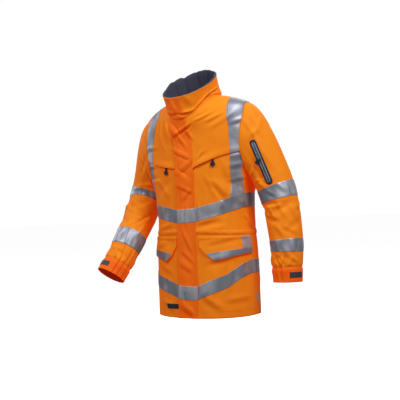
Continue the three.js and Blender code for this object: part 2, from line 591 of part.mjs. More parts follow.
// Cuffs: gathered over elastic on the inner half, with a flat grey tab on the outer half
const GATHER = 1.7;
const TABS = { left: { from: 1, to: 58, gather: 64 }, right: { from: 10, to: 103, gather: 108 } };
for (const { side, name } of SLEEVE_LOOKS) {
  const rows = [CUFF_SEAM, 0.955, 0.98, 1];
  const k = TABS[name];
  const angles = thetas(CUFF_COLUMNS);
  const g = grid((a, s) => sleeve(a, s, side), angles, rows, side, true);
  trim(g, { low: SEAM });
  g.points.forEach((row, j) => row.forEach((p, i) => {
    const turn = ((angles[i] * 180 / Math.PI + 180) % 360) - 180;
    const inside = smooth(((turn > 0 ? turn : -turn - 64 + k.gather) - k.gather) / 20);
    const grip = [0, 1, 1, 0.8][j];
    p.addScaledVector(g.normals[j][i], inside * grip * (i % 2 ? GATHER : -GATHER) - inside * grip);
  }));
  add(`cuff_${name}`, wall(g, -CLOTH, 0), ORANGE);
  const first = angles.findIndex((a) => a > rad(k.from)), end = angles.findIndex((a) => a > rad(k.to));
  const pick = (row) => row.slice(first - 1, end);
  const tab = {
    points: [g.points[1], g.points[2]].map(pick),
    normals: [g.normals[1], g.normals[2]].map(pick),
    wrap: false,
  };
  const tabWall = wall(tab, GAP, GAP + 1.6);
  add(`cuff_tab_${name}`, tabWall, TAB_GREY);
}

// Collar of orange cloth with its navy padded lining rolled over the edge inside it
const ring = thetas(COLLAR_COLUMNS);
const collarGrid = trim(grid(collar, ring, [0, 0.25, 0.5, 0.75, 1], 1, true), { low: SEAM });
add("collar_outer", wall(collarGrid, -CLOTH, 0), ORANGE);
const liningGrid = grid(collar, ring, [0.05, 0.25, 0.5, 0.75, 1, 1 + LINING_RISE], 1, true);
const wave = (p, j, i) => 1.3 * Math.sin(ring[i] * 7 + 0.6) * [0, 0.6, 1, 1, 0.7, 0.3][j];
add("collar_lining", wall(liningGrid, (p, j, i) => -CLOTH - GAP - LINING + wave(p, j, i),
  -CLOTH - GAP), NAVY);

// The storm flap runs on up the front of the collar
const collarFlap = trim(grid(collar, ring, [0.05, 0.25, 0.5, 0.75, 1], 1, true), {});
add("placket_collar", largest(wall(collarFlap, GAP, GAP + CLOTH)
  .intersect(flapOutline(COLLAR_PLACKET, 0)).intersect(box(-90, 60, -400, -100, -400, 200))), ORANGE);

// Where a line meets the faceted surface of a grid
function meet(g, from, direction) {
  const ray = new THREE.Ray(from, direction.clone().normalize());
  let best = null;
  const cols = g.points[0].length;
  for (let j = 0; j < g.points.length - 1; j += 1) {
    for (let i = 0; i < (g.wrap ? cols : cols - 1); i += 1) {
      const q = [g.points[j][i], g.points[j][(i + 1) % cols],
        g.points[j + 1][(i + 1) % cols], g.points[j + 1][i]];
      for (const [a, b, c] of [[q[0], q[1], q[2]], [q[0], q[2], q[3]]]) {
        const hit = ray.intersectTriangle(a, b, c, false, new THREE.Vector3());
        if (!hit) continue;
        const far = hit.distanceTo(from);
        if (best && best.far < far) continue;
        const normal = new THREE.Vector3().crossVectors(b.clone().sub(a), c.clone().sub(a)).normalize();
        if (normal.dot(direction) > 0) normal.negate();
        best = { point: hit, normal, far };
      }
    }
  }
  return best;
}

// A frame on the surface: x across, y out of the cloth, z up along it
function seat(point, normal, up, by) {
  const y = normal.clone();
  const z = up.clone().addScaledVector(y, -up.dot(y)).normalize();
  const x = new THREE.Vector3().crossVectors(y, z);
  return new THREE.Matrix4().makeBasis(x, y, z).setPosition(point.clone().addScaledVector(y, by));
}

// Round bar along x
const round = (radius, low, high, y, z, count = 12) => block(
  thetas(count).map((a) => [y + radius * Math.cos(a), z + radius * Math.sin(a)]), low, high,
  (v, w, x) => [x, v, w]);

// A slider with two ears and a bar, in the frame of its seat. Its plate is turned by so many degrees.
function sliderShape(turn = 0) {
  const k = SLIDER, e = EYE, side = e.wide / 2 + GAP;
  const at = k.thick + e.above - e.bar;
  const ear = (x0, x1) => block([[k.thick - 0.4, -2], [at + 0.2, -1.3], [at + 1.1, 0], [at + 0.2, 1.3],
    [k.thick - 0.4, 2]], x0, x1, (y, z, x) => [x, y, z]);
  return box(-k.wide / 2, k.wide / 2, 0, k.thick, -k.high / 2, k.high / 2).rotate([0, -turn, 0])
    .add(ear(side, side + e.ear)).add(ear(-side - e.ear, -side))
    .add(round(e.bar, -side - 0.2, side + 0.2, at, 0));
}

// The pull: an oval tongue on a neck that ends in an eye round the slider's bar
function pullShape() {
  const k = PULL, e = EYE, at = SLIDER.thick + e.above - e.bar;
  const top = -k.long + 2 * e.rim, tongue = [];
  for (const a of thetas(24)) {
    tongue.push([Math.sign(Math.cos(a)) * Math.abs(Math.cos(a)) ** 0.7 * k.wide / 2,
      (top - 5) / 2 + Math.sign(Math.sin(a)) * Math.abs(Math.sin(a)) ** 0.8 * (-top - 5) / 2]);
  }
  const flat = (outline) => block(outline, at - k.thick / 2, at + k.thick / 2, (x, z, y) => [x, y, z]);
  const neck = flat([[-e.wide / 2, -7], [e.wide / 2, -7], [e.wide / 2, -e.hole], [-e.wide / 2, -e.hole]]);
  return round(e.rim, -e.wide / 2, e.wide / 2, at, 0, 16).add(neck).add(flat(tongue))
    .subtract(round(e.hole, -9, 9, at, 0, 16));
}

// Chest pocket pulls, hanging just under the yoke's edge
const UP = new THREE.Vector3(0, 0, 1);
for (const { name, x, z } of CHEST_PULLS) {
  const hit = meet(front, new THREE.Vector3(x, -400, z), new THREE.Vector3(0, 1, 0));
  const place = seat(hit.point, hit.normal, UP, GAP);
  add(`chest_slider_${name}`, sliderShape(), BLACK, place);
  add(`chest_pull_${name}`, pullShape(), BLACK, place);
}

// Sleeve pocket zip: moulded surround, zip tape in its slot, slider and pull
{
  const k = SLEEVE_ZIP, g = sleeveGrids.left;
  const high = sleeve(rad(k.top.theta), k.top.s, 1), low = sleeve(rad(k.end.theta), k.end.s, 1);
  const middle = high.clone().lerp(low, 0.5);
  const run = high.clone().sub(low).normalize();
  const out = new THREE.Vector3(0.42, -1, 0.1);
  out.addScaledVector(run, -out.dot(run)).normalize();
  const across = new THREE.Vector3().crossVectors(out, run);
  const at = (u, v, w) => middle.clone().addScaledVector(across, u).addScaledVector(run, v)
    .addScaledVector(out, w).toArray();
  const pill = (wide, long, more = 0) => {
    const r = wide / 2 + more, h = long / 2 + more - r, turn = [];
    for (let n = 0; n <= 8; n += 1) turn.push([r * Math.cos(Math.PI * n / 8), h + r * Math.sin(Math.PI * n / 8)]);
    for (let n = 0; n <= 8; n += 1) turn.push([-r * Math.cos(Math.PI * n / 8), -h - r * Math.sin(Math.PI * n / 8)]);
    return block(turn, -40, 60, at);
  };
  const slot = (more) => pill(k.slot, k.long - 16, more);
  add("sleeve_zip_frame", largest(wall(g, GAP, GAP + k.thick).intersect(pill(k.wide, k.long))
    .subtract(slot(0))), BLACK);
  add("sleeve_zip_tape", largest(wall(g, GAP, GAP + k.tape).intersect(slot(-GAP))), GREY);
  const from = middle.clone().addScaledVector(run, k.long * (0.5 - k.slider)).addScaledVector(out, 80);
  const hit = meet(g, from, out.clone().negate());
  const hang = run.clone().applyAxisAngle(hit.normal, rad(k.swivel));
  const place = seat(hit.point, hit.normal, hang, GAP + k.tape + GAP);
  add("sleeve_slider", sliderShape(k.swivel), BLACK, place);
  add("sleeve_pull", pullShape(), BLACK, place);
}

export default group;
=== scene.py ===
# Looks of the high-visibility work jacket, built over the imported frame.
# Surfaces are worked out in millimetres, in the part's own frame, and meshes are in metres.
import math
from functools import partial

import bpy
import numpy as np
from mathutils import Matrix, Vector


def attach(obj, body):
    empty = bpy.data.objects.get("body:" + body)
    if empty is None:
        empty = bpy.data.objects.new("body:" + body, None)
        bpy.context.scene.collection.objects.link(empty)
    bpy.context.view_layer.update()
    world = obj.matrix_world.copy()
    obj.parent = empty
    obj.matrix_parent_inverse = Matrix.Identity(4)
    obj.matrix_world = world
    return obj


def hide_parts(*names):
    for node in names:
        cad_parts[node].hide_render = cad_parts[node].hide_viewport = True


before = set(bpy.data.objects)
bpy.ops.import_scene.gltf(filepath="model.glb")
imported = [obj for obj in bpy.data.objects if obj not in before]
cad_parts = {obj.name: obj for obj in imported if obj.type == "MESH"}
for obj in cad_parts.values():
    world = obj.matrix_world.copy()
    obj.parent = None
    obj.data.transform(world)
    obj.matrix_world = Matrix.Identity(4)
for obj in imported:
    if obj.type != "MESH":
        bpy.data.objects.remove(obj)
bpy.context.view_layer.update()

MM = 0.001
CLOTH, TAPE, GAP = 2.0, 0.9, 0.3

# ---------------------------------------------------------------- sizes, as in the part

# t, side, front and back level, half width, depth to the front and back, middle
BODY = np.array([
    (0.00, -820, -824, -818, 203, 150, 138, 0),
    (0.14, -690, -692, -688, 202, 150, 134, 0),
    (0.28, -560, -562, -558, 199, 149, 128, 0),
    (0.38, -466, -467, -464, 192, 146, 122, -2),
    (0.48, -378, -378, -376, 197, 145, 124, -5),
    (0.60, -288, -296, -290, 211, 142, 130, -10),
    (0.70, -196, -226, -206, 224, 138, 132, -14),
    (0.79, -110, -168, -128, 230, 133, 130, -20),
    (0.86, -50, -130, -70, 214, 128, 124, -30),
    (0.93, -18, -106, -28, 156, 118, 110, -48),
    (1.00, 0, -84, 12, 98, 104, 98, -66),
], float)
RING_POWER = 2.35
SHOULDER_LEAN, SHOULDER_AT, MIDDLE_Y = 20, 220, -15
ARM_LOW, ARM_TOP, ARM_HALF = 0.575, 0.865, math.radians(21.5)

# Side 1 is the wearer's left and side -1 the right, here and wherever a side is given.
# s, centre line x, y, z, half width across and in depth
SLEEVES = {
    1: np.array([
        (0.00, 206, -14, -140, 86, 86), (0.20, 246, 2, -230, 78, 80),
        (0.42, 290, 14, -342, 70, 72), (0.58, 314, 14, -432, 67, 67),
        (0.80, 332, 6, -560, 61, 61), (0.92, 333, 2, -632, 58, 57),
        (1.00, 334, 0, -696, 55, 54),
    ], float),
    -1: np.array([
        (0.00, -205, -16, -166, 80, 86), (0.20, -248, 16, -254, 74, 80),
        (0.42, -281, 18, -354, 66, 70), (0.58, -290, -30, -440, 64, 64),
        (0.80, -302, -110, -548, 58, 58), (0.92, -318, -152, -614, 56, 56),
        (1.00, -333, -184, -664, 57, 57),
    ], float),
}
HEAD_END, HEAD_PULL, HEAD_DROP, CUFF_SEAM = 0.36, 0.62, 0.88, 0.933
CUFF_PINCH, HEAD_SWELL = 2.6, 2.0

COLLAR = {"level": 52, "tip_y": 0.568, "tip_x": 0.067, "half": 101, "fore": 98, "aft": 96, "mid": -98}
COLLAR_POWER, COLLAR_SWELL = 2.2, 2.4

# Large folds of the part: angle, level, slant, length, width, depth
BODY_FOLDS = [
    (-52, 0.400, 14, 150, 62, -5), (-28, 0.545, -38, 130, 58, -5), (-128, 0.555, 34, 120, 56, -5),
    (-122, 0.300, -16, 130, 60, -4), (-60, 0.130, 72, 190, 74, 5), (-138, 0.120, 98, 180, 76, 5),
    (62, 0.430, -12, 180, 66, -6), (118, 0.420, 14, 170, 64, -6), (90, 0.620, 84, 200, 80, -5),
    (50, 0.120, 80, 190, 78, 5), (132, 0.140, 96, 200, 76, 5),
]
SLEEVE_FOLDS = {
    1: [
        (62, 0.575, 22, 110, 34, -5), (118, 0.630, -18, 90, 32, -5), (30, 0.690, 30, 100, 34, -4),
        (168, 0.560, 8, 100, 34, -6), (-78, 0.620, -20, 110, 36, -5), (96, 0.885, 14, 90, 30, -4),
        (-100, 0.330, 50, 120, 44, -4),
    ],
    -1: [
        (96, 0.560, -20, 110, 34, -6), (150, 0.620, 14, 90, 32, -5), (60, 0.670, 24, 100, 34, -5),
        (20, 0.880, -12, 90, 30, -4), (128, 0.890, 16, 90, 28, -4), (-80, 0.570, 16, 120, 36, -5),
        (-110, 0.320, -44, 120, 44, -4),
    ],
}
# Typical radius and length of each form, which turn angles and levels into distances
BODY_REACH, SLEEVE_REACH, COLLAR_REACH = 190, 64, 100
BODY_HEIGHT, SLEEVE_LENGTH, COLLAR_HEIGHT = 830, 620, 110

# Creases, listed one by one: from angle, from level, to angle, to level, width, depth
BODY_CREASES = [
    (-42, 0.914, -64, 0.931, 9, 2.2), (-29, 0.870, -51, 0.883, 11, 2.0), (-24, 0.847, -48, 0.831, 13, 1.8),
    (-108, 0.838, -75, 0.926, 10, 2.6), (-96, 0.845, -78, 0.885, 9, -1.1),
    (-124, 0.935, -111, 0.805, 10, 3.4), (-139, 0.915, -134, 0.835, 9, -2.4),
    (-72, 0.378, -45, 0.399, 9, 1.8), (-70, 0.362, -40, 0.374, 8, -1.4), (-105, 0.056, -86, 0.023, 12, 1.8),
    (-103, 0.225, -85, 0.192, 11, 1.5), (-96, 0.475, -83, 0.524, 10, 1.5),
    (-99, 0.628, -77, 0.684, 12, 1.7), (-134, 0.066, -116, 0.030, 12, 2.0),
    (-39, 0.072, -13, 0.079, 11, 1.4), (-67, 0.089, -46, 0.041, 13, 2.0), (-12, 0.401, 1, 0.363, 9, 2.0),
    (-51, 0.568, -34, 0.482, 15, 2.2), (-140, 0.597, -122, 0.501, 13, 2.0),
    (-145, 0.351, -117, 0.376, 9, 1.7), (-20, 0.520, -8, 0.440, 11, 2.0), (-60, 0.300, -30, 0.318, 9, 1.3),
    (-150, 0.285, -128, 0.300, 9, 1.4), (-119, 0.461, -119, 0.368, 7, 1.5),
    (-89, 0.448, -91, 0.359, 6, 1.2), (-71, 0.462, -71, 0.373, 6, 1.4), (-30, 0.509, -35, 0.385, 8, 1.6),
    (-15, 0.516, -10, 0.413, 8, -1.5), (-140, 0.482, -139, 0.383, 7, 1.4),
    (-125, 0.166, -124, 0.069, 9, 1.6), (-93, 0.136, -93, 0.064, 6, 1.1), (-73, 0.144, -76, 0.062, 6, 1.3),
    (-34, 0.205, -38, 0.110, 9, 1.6), (-16, 0.232, -16, 0.143, 9, -1.4), (-53, 0.183, -56, 0.089, 8, 1.2),
    (-31, 0.624, -11, 0.627, 9, 1.5), (-32, 0.675, -11, 0.675, 7, -1.3), (-31, 0.559, -9, 0.572, 9, 1.2),
    (-27, 0.805, -10, 0.795, 8, 1.5), (-161, 0.658, -138, 0.668, 8, 1.5),
    (-160, 0.599, -135, 0.605, 8, -1.3), (-160, 0.741, -140, 0.761, 8, 1.5),
    (-103, 0.868, -87, 0.767, 8, 1.9), (-84, 0.870, -74, 0.800, 8, 1.5),
    (-121, 0.930, -109, 0.795, 15, 3.4), (-105, 0.940, -96, 0.860, 8, -2.2),
    (-109, 0.753, -80, 0.695, 9, 1.6), (-104, 0.651, -85, 0.602, 9, -1.2),
    (-102, 0.558, -80, 0.512, 9, 1.2), (-71, 0.680, -58, 0.722, 8, 1.3), (-134, 0.883, -125, 0.754, 9, 3.2),
    (-113, 0.944, -101, 0.811, 9, 3.0), (-49, 0.535, -36, 0.449, 10, -1.4),
    (-59, 0.592, -48, 0.485, 10, 1.2), (-38, 0.655, -32, 0.559, 9, 1.2), (-3, 0.478, 6, 0.346, 9, 1.8),
    (-11, 0.373, 6, 0.353, 9, 1.5), (-64, 0.225, -35, 0.249, 10, 1.2), (-145, 0.219, -119, 0.182, 10, 1.4),
    (-96, 0.343, -84, 0.273, 8, 1.2), (-100, 0.273, -81, 0.225, 8, 1.0), (-100, 0.064, -84, 0.019, 9, 1.2),
    # behind
    (12, 0.440, 14, 0.350, 9, 1.5), (170, 0.450, 166, 0.360, 9, 1.5), (56, 0.465, 52, 0.380, 8, 1.3),
    (84, 0.455, 88, 0.372, 8, 1.4), (124, 0.462, 128, 0.376, 8, 1.3), (24, 0.215, 20, 0.120, 9, 1.5),
    (76, 0.205, 80, 0.118, 9, 1.3), (108, 0.208, 106, 0.122, 8, 1.4), (156, 0.190, 160, 0.100, 9, 1.5),
    (36, 0.640, 62, 0.600, 10, 1.4), (146, 0.650, 118, 0.612, 10, 1.4), (44, 0.285, 78, 0.262, 10, 1.2),
    (134, 0.270, 100, 0.292, 10, 1.2), (40, 0.430, 92, 0.405, 13, 2.2), (138, 0.400, 84, 0.452, 12, 2.0),
    (28, 0.330, 66, 0.352, 11, 1.8), (150, 0.345, 112, 0.322, 11, 1.8), (70, 0.560, 88, 0.660, 14, 2.0),
    (112, 0.545, 96, 0.640, 15, 1.8), (60, 0.060, 54, 0.200, 18, 2.2), (104, 0.040, 110, 0.170, 17, 2.0),
    (138, 0.070, 142, 0.190, 16, 2.0), (48, 0.780, 74, 0.720, 13, 1.8), (132, 0.775, 108, 0.730, 13, 1.6),
    (62, 0.930, 84, 0.890, 9, 1.6), (118, 0.935, 98, 0.895, 9, 1.4), (14, 0.560, 26, 0.470, 12, 2.2),
    (166, 0.570, 152, 0.480, 12, 2.2),
]
COLLAR_CREASES = [
    (-52, 0.10, -22, 0.34, 8, 3.2), (-38, 0.02, 4, 0.26, 8, -2.4), (-30, 0.30, 12, 0.46, 7, 2.6),
    (-83, 0.285, -59, 0.05, 7, 2.6), (-105, 0.90, -98, 0.335, 8, 2.4), (-69, 0.92, -60, 0.360, 12, 1.8),
    (-96, 0.26, -70, 0.10, 6, -1.8), (-120, 0.20, -98, 0.34, 8, 1.8), (30, 0.10, 60, 0.34, 9, 2.0),
    (100, 0.12, 74, 0.40, 10, 1.6), (128, 0.14, 158, 0.36, 9, 2.0), (-150, 0.16, -176, 0.42, 9, 1.8),
]
SLEEVE_CREASES = {
    1: [
        (40, 0.070, 56, 0.140, 8, -2.6), (70, 0.112, 38, 0.150, 7, 2.0), (2, 0.118, 44, 0.142, 9, 1.6),
        (113, 0.541, 96, 0.625, 8, 2.2), (140, 0.530, 66, 0.545, 7, -2.0), (132, 0.600, 84, 0.640, 9, 2.0),
        (105, 0.880, 87, 0.924, 6, 2.4), (71, 0.875, 82, 0.929, 6, -2.2), (124, 0.872, 112, 0.926, 6, 2.2),
        (140, 0.868, 146, 0.926, 6, 2.0), (52, 0.884, 60, 0.926, 6, 1.6), (37, 0.569, 9, 0.675, 10, 1.8),
        (72, 0.200, 84, 0.306, 12, 1.4), (94, 0.684, 71, 0.751, 10, 1.6), (160, 0.880, 166, 0.926, 6, 2.0),
        (20, 0.590, -22, 0.560, 9, 1.6), (96, 0.420, 120, 0.330, 12, 2.0),
        (110, 0.250, 140, 0.190, 12, 2.2), (-60, 0.560, -128, 0.600, 9, 2.2),
        (-50, 0.640, -110, 0.600, 10, 1.8), (-36, 0.120, -70, 0.190, 12, 2.0),
        (-100, 0.120, -72, 0.260, 14, 2.0), (-110, 0.880, -100, 0.926, 6, 2.2),
        (-134, 0.874, -128, 0.926, 6, 2.2), (-84, 0.880, -92, 0.926, 6, -2.0),
        (-156, 0.880, -150, 0.926, 6, 2.0), (-70, 0.720, -120, 0.690, 10, 1.8),
        (28, 0.104, 40, 0.179, 8, 1.8), (53, 0.106, 57, 0.165, 7, 1.6), (56, 0.220, 47, 0.338, 9, 1.2),
        (97, 0.436, 72, 0.500, 7, 1.4), (60, 0.416, 40, 0.482, 8, 1.4), (18, 0.425, 20, 0.510, 8, -1.3),
        (77, 0.522, 60, 0.631, 9, 1.6), (67, 0.692, 28, 0.734, 9, 1.5), (104, 0.775, 98, 0.840, 7, 1.4),
        (52, 0.773, 46, 0.840, 7, 1.4), (26, 0.770, 30, 0.842, 7, -1.2), (78, 0.810, 62, 0.870, 8, 1.5),
        (104, 0.858, 77, 0.906, 8, 1.6), (55, 0.870, 23, 0.907, 8, 1.6), (104, 0.398, 106, 0.323, 9, 1.6),
        (-30, 0.420, -34, 0.512, 8, 1.4), (-82, 0.424, -78, 0.510, 8, 1.4),
        (-130, 0.420, -136, 0.512, 8, 1.3), (-40, 0.772, -38, 0.842, 8, 1.3),
        (-96, 0.772, -92, 0.842, 8, 1.4), (-146, 0.772, -150, 0.842, 8, 1.3),
    ],
    -1: [
        (92, 0.080, 88, 0.235, 8, -2.6), (100, 0.150, 142, 0.215, 9, 2.6), (60, 0.150, 100, 0.120, 10, 1.8),
        (90, 0.546, 158, 0.575, 8, 2.4), (163, 0.591, 130, 0.684, 8, -2.0), (41, 0.548, 106, 0.612, 9, 2.2),
        (96, 0.872, 114, 0.926, 6, 2.4), (130, 0.845, 139, 0.922, 6, -2.2),
        (174, 0.836, 172, 0.920, 6, 2.4), (152, 0.850, 156, 0.924, 6, 2.0), (79, 0.771, 103, 0.700, 9, 1.8),
        (148, 0.764, 163, 0.658, 9, 1.6), (110, 0.330, 134, 0.250, 12, 2.0),
        (72, 0.420, 100, 0.340, 12, 1.6), (20, 0.600, 48, 0.540, 10, 1.8),
        (-60, 0.560, -128, 0.590, 9, 2.2), (-48, 0.640, -110, 0.610, 10, 1.8),
        (-34, 0.120, -70, 0.190, 12, 2.0), (-104, 0.130, -76, 0.270, 14, 2.0),
        (-110, 0.872, -100, 0.926, 6, 2.2), (-136, 0.872, -128, 0.926, 6, 2.2),
        (-84, 0.876, -92, 0.926, 6, -2.0), (-158, 0.872, -152, 0.926, 6, 2.0),
        (-74, 0.740, -122, 0.710, 10, 1.8), (90, 0.380, 100, 0.480, 8, 1.6),
        (124, 0.370, 138, 0.478, 8, -1.4), (150, 0.380, 154, 0.470, 7, 1.3),
        (101, 0.567, 140, 0.571, 8, 1.5), (122, 0.558, 153, 0.518, 8, 1.5),
        (102, 0.647, 159, 0.647, 9, 1.3), (95, 0.727, 122, 0.668, 9, 1.4), (70, 0.752, 80, 0.830, 11, 1.2),
        (113, 0.748, 120, 0.835, 10, 1.2), (144, 0.752, 152, 0.835, 10, -1.0),
        (68, 0.864, 122, 0.870, 8, 1.4), (79, 0.192, 115, 0.169, 9, 1.6), (125, 0.104, 150, 0.300, 10, 1.7),
        (40, 0.390, 44, 0.476, 8, 1.3), (-32, 0.384, -36, 0.476, 8, 1.4), (-80, 0.386, -76, 0.476, 8, 1.4),
        (-128, 0.384, -134, 0.476, 8, 1.3), (-40, 0.740, -38, 0.830, 8, 1.3),
        (-92, 0.740, -96, 0.830, 8, 1.4), (-144, 0.738, -148, 0.830, 8, 1.3),
    ],
}

# How strongly the listed creases show
BODY_DEPTH, COLLAR_DEPTH, SLEEVE_DEPTH = 2.1, 1.9, 1.9

# Outlines seen square on from the front, as places x and z
YOKE_LINE = [
    (-260, -226), (-199, -226), (-161, -240), (-115, -252), (-59, -262), (0, -270), (36, -265),
    (59, -254), (103, -237), (137, -224), (173, -215), (199, -207), (260, -203),
]
YOKE_OVER = 25  # how far the fronts reach up behind the yoke
# z, right edge and left edge of the storm flap
PLACKET = [
    (-840, -46, 34), (-606, -39, 36), (-411, -38, 34), (-306, -37, 34), (-200, -38, 34),
    (-149, -41, 30), (-108, -46, 22), (-87, -50, 17),
]
CHEST_LEVEL = [
    (-260, -386), (-205, -388), (-176, -394), (-40, -419), (31, -415), (108, -397), (165, -377),
    (198, -362), (260, -360),
]
HEM_LEVEL = [
    (-260, -640), (-205, -645), (-169, -661), (-102, -680), (-40, -702), (31, -706), (146, -660),
    (201, -612), (260, -610),
]
BACK_CHEST = [(-260, -386), (260, -360)]
BACK_HEM = [(-260, -640), (260, -610)]
HOOP = 50  # width of the reflective tape
# z, inner edge, outer edge, how far back the edge goes
BRACES = {
    1: [(-440, 160, 260, -44), (-365, 162, 260, -46), (-290, 167, 260, -72), (-205, 171, 260, -80),
        (-120, 172, 222, -60), (-60, 166, 214, 60), (40, 157, 206, 60)],
    -1: [(-440, -168, -260, -46), (-320, -168, -260, -58), (-240, -161, -260, -80),
         (-175, -152, -202, -60), (-120, -138, -188, -60), (-69, -122, -172, 60), (40, -114, -164, 60)],
}
# z, inner edge, outer edge
BRACES_BACK = {
    1: [(-440, 116, 166), (-200, 124, 174), (-80, 148, 198), (60, 157, 206)],
    -1: [(-440, -116, -166), (-200, -120, -170), (-80, -118, -168), (60, -114, -164)],
}
WAIST = [(-260, -499), (-200, -498), (-40, -490), (40, -490), (200, -499), (260, -499)]
WAIST_HIGH = 20
FLAP_TOP = -521
FLAP_FEET = {
    1: [(0, -558), (48, -558), (74, -588), (105, -609), (230, -578)],
    -1: [(-230, -582), (-101, -613), (-72, -590), (-52, -556), (0, -556)],
}
FLAP_NEAR = {1: 47.5, -1: -51.5}
FLAP_END = 0.925  # where a pocket flap ends, as a share of the front's half
LABEL = {"from": -107, "to": -52, "low": -790, "high": -772, "thick": 0.7}
# Levels, and degrees round the body
TAG = {"low": 0.052, "high": 0.085, "from": 0.15, "to": 3.4, "thick": 0.8}
# From and to, as shares of the sleeve's length
SLEEVE_TAPES = {
    1: {"upper": (0.420, 0.515), "lower": (0.770, 0.843)},
    -1: {"upper": (0.382, 0.478), "lower": (0.732, 0.832)},
}
# Ends in degrees and share of the sleeve, then its frame's width, length and the slot's width
ZIP = {"top": (67, 0.150), "end": (76, 0.392), "wide": 24, "long": 176, "slot": 13.5}
SIDES = {1: "left", -1: "right"}
EDGE_STEPS = 241

# ---------------------------------------------------------------- surfaces


def smooth(x):
    q = np.clip(x, 0, 1)
    return q * q * (3 - 2 * q)


def bell(x):
    """1 at 0, fading to nothing on both sides."""
    return np.exp(-x**2)


def unit(v):
    return v / np.maximum(np.linalg.norm(v, axis=-1, keepdims=True), 1e-9)


def along(table, at):
    """Cubic curve through a table's rows, by its first column."""
    k, v = table[:, 0], table[:, 1:]
    slope = np.empty_like(v)
    slope[1:-1] = (v[2:] - v[:-2]) / (k[2:] - k[:-2])[:, None]
    slope[0] = (v[1] - v[0]) / (k[1] - k[0])
    slope[-1] = (v[-1] - v[-2]) / (k[-1] - k[-2])
    i = np.clip(np.searchsorted(k, at, side="right") - 1, 0, len(k) - 2)
    h = (k[i + 1] - k[i])[..., None]
    q = ((at - k[i]) / (k[i + 1] - k[i]))[..., None]
    return ((2 * q**3 - 3 * q**2 + 1) * v[i] + (q**3 - 2 * q**2 + q) * h * slope[i]
            + (3 * q**2 - 2 * q**3) * v[i + 1] + (q**3 - q**2) * h * slope[i + 1])


def turn_to(angle, degrees):
    """Angle from a place round the body, in radians, within half a turn either way."""
    return (angle - math.radians(degrees) + math.pi) % (2 * math.pi) - math.pi


CHART_COLS, CHART_ROWS, CHART_PAST = 1800, 1300, 0.06


def chart(table, reach, height, draw):
    """Heights of a table of folds, drawn once on a fine grid of angle and level and then read off it."""
    angle = np.linspace(-math.pi, math.pi, CHART_COLS)
    level = np.linspace(-CHART_PAST, 1 + CHART_PAST, CHART_ROWS)
    grid = np.zeros((CHART_ROWS, CHART_COLS))
    for row in table:
        middle, at, half_wide, half_high = draw(row, reach, height)
        cols = np.nonzero(np.abs(turn_to(angle, middle)) * reach < half_wide)[0]
        rows = np.nonzero(np.abs(level - at) * height < half_high)[0]
        block = np.ix_(rows, cols)
        u, v = turn_to(angle[cols], middle)[None, :] * reach, (level[rows] - at)[:, None] * height
        grid[block] += draw(row, reach, height, u, v)
    grid[:, -1] = grid[:, 0]

    def read(a, t):
        a, t = np.broadcast_arrays(np.asarray(a, float), np.asarray(t, float))
        x = ((a + math.pi) % (2 * math.pi)) / (2 * math.pi) * (CHART_COLS - 1)
        y = np.clip((t + CHART_PAST) / (1 + 2 * CHART_PAST), 0, 1) * (CHART_ROWS - 1)
        i, j = np.minimum(x.astype(int), CHART_COLS - 2), np.minimum(y.astype(int), CHART_ROWS - 2)
        x, y = x - i, y - j
        return ((grid[j, i] * (1 - x) + grid[j, i + 1] * x) * (1 - y)
                + (grid[j + 1, i] * (1 - x) + grid[j + 1, i + 1] * x) * y)

    return read


def one_crease(row, reach, height, u=None, v=None):
    """A narrow fold: a soft ridge with a shallower trough on its lower side."""
    a0, l0, a1, l1, wide, deep = row
    across = (a1 - a0 + 180) % 360 - 180
    dx, dy = math.radians(across) * reach, (l1 - l0) * height
    half = max(math.hypot(dx, dy) / 2, 1)
    if u is None:
        return a0 + across / 2, (l0 + l1) / 2, abs(dx) * 0.9 + 5 * wide, abs(dy) * 0.9 + 5 * wide
    c, s = dx / (2 * half), dy / (2 * half)
    run, off = (u * c + v * s) / (half * 1.15), (v * c - u * s) / wide
    ridge = bell(off) - 0.55 * bell((off + 1.35) / 1.15)
    return deep * ridge * np.exp(-1.5 * run**4)


def folds(table, angle, at, reach, height):
    push = 0
    for where, lev, slant, long, wide, deep in table:
        u, v = turn_to(angle, where) * reach, (at - lev) * height
        c, s = math.cos(math.radians(slant)), math.sin(math.radians(slant))
        run, off = (u * c + v * s) / (long / 2), (v * c - u * s) / (wide / 2)
        push = push + deep * np.exp(-1.6 * run**2 - 1.6 * off**2)
    return push


body_creases = chart(BODY_CREASES, BODY_REACH, BODY_HEIGHT, one_crease)
collar_creases = chart(COLLAR_CREASES, COLLAR_REACH, COLLAR_HEIGHT, one_crease)
sleeve_creases = {side: chart(table, SLEEVE_REACH, SLEEVE_LENGTH, one_crease)
                  for side, table in SLEEVE_CREASES.items()}


def ripple(angle, at, reach, height, size=0.35):
    """Faint unevenness that all worn cloth has."""
    u, v = angle * reach, at * height
    return size * (np.sin(u / 23.0 + 1.7 * np.sin(v / 61.0)) * np.sin(v / 31.0 + 0.8 + np.sin(u / 47.0))
                   + 0.6 * np.sin(u / 11.7 + v / 17.3 + 2 * np.sin(v / 83.0)))


def body(angle, t):
    """Outer surface of the body. Angle -90 degrees is the middle of the front, 0 the left side."""
    angle, t = np.broadcast_arrays(np.asarray(angle, float), np.asarray(t, float))
    side, fore_z, back_z, half, fore, aft, mid = np.moveaxis(along(BODY, t), -1, 0)
    c, s = np.cos(angle), np.sin(angle)
    depth = np.where(s < 0, fore, aft)
    reach = (np.abs(c / half) ** RING_POWER + np.abs(s / depth) ** RING_POWER) ** (-1 / RING_POWER)
    x = reach * c
    share = (x / half) ** 2
    z = np.where(s < 0, fore_z, back_z) * (1 - share) + side * share
    z = z + SHOULDER_LEAN * smooth((z + 500) / 400) * x / SHOULDER_AT
    fade = smooth((0.85 - t) / 0.1)
    reach = reach + folds(BODY_FOLDS, angle, t, BODY_REACH, BODY_HEIGHT) * fade
    return np.stack([reach * c, reach * s + mid, z], -1)


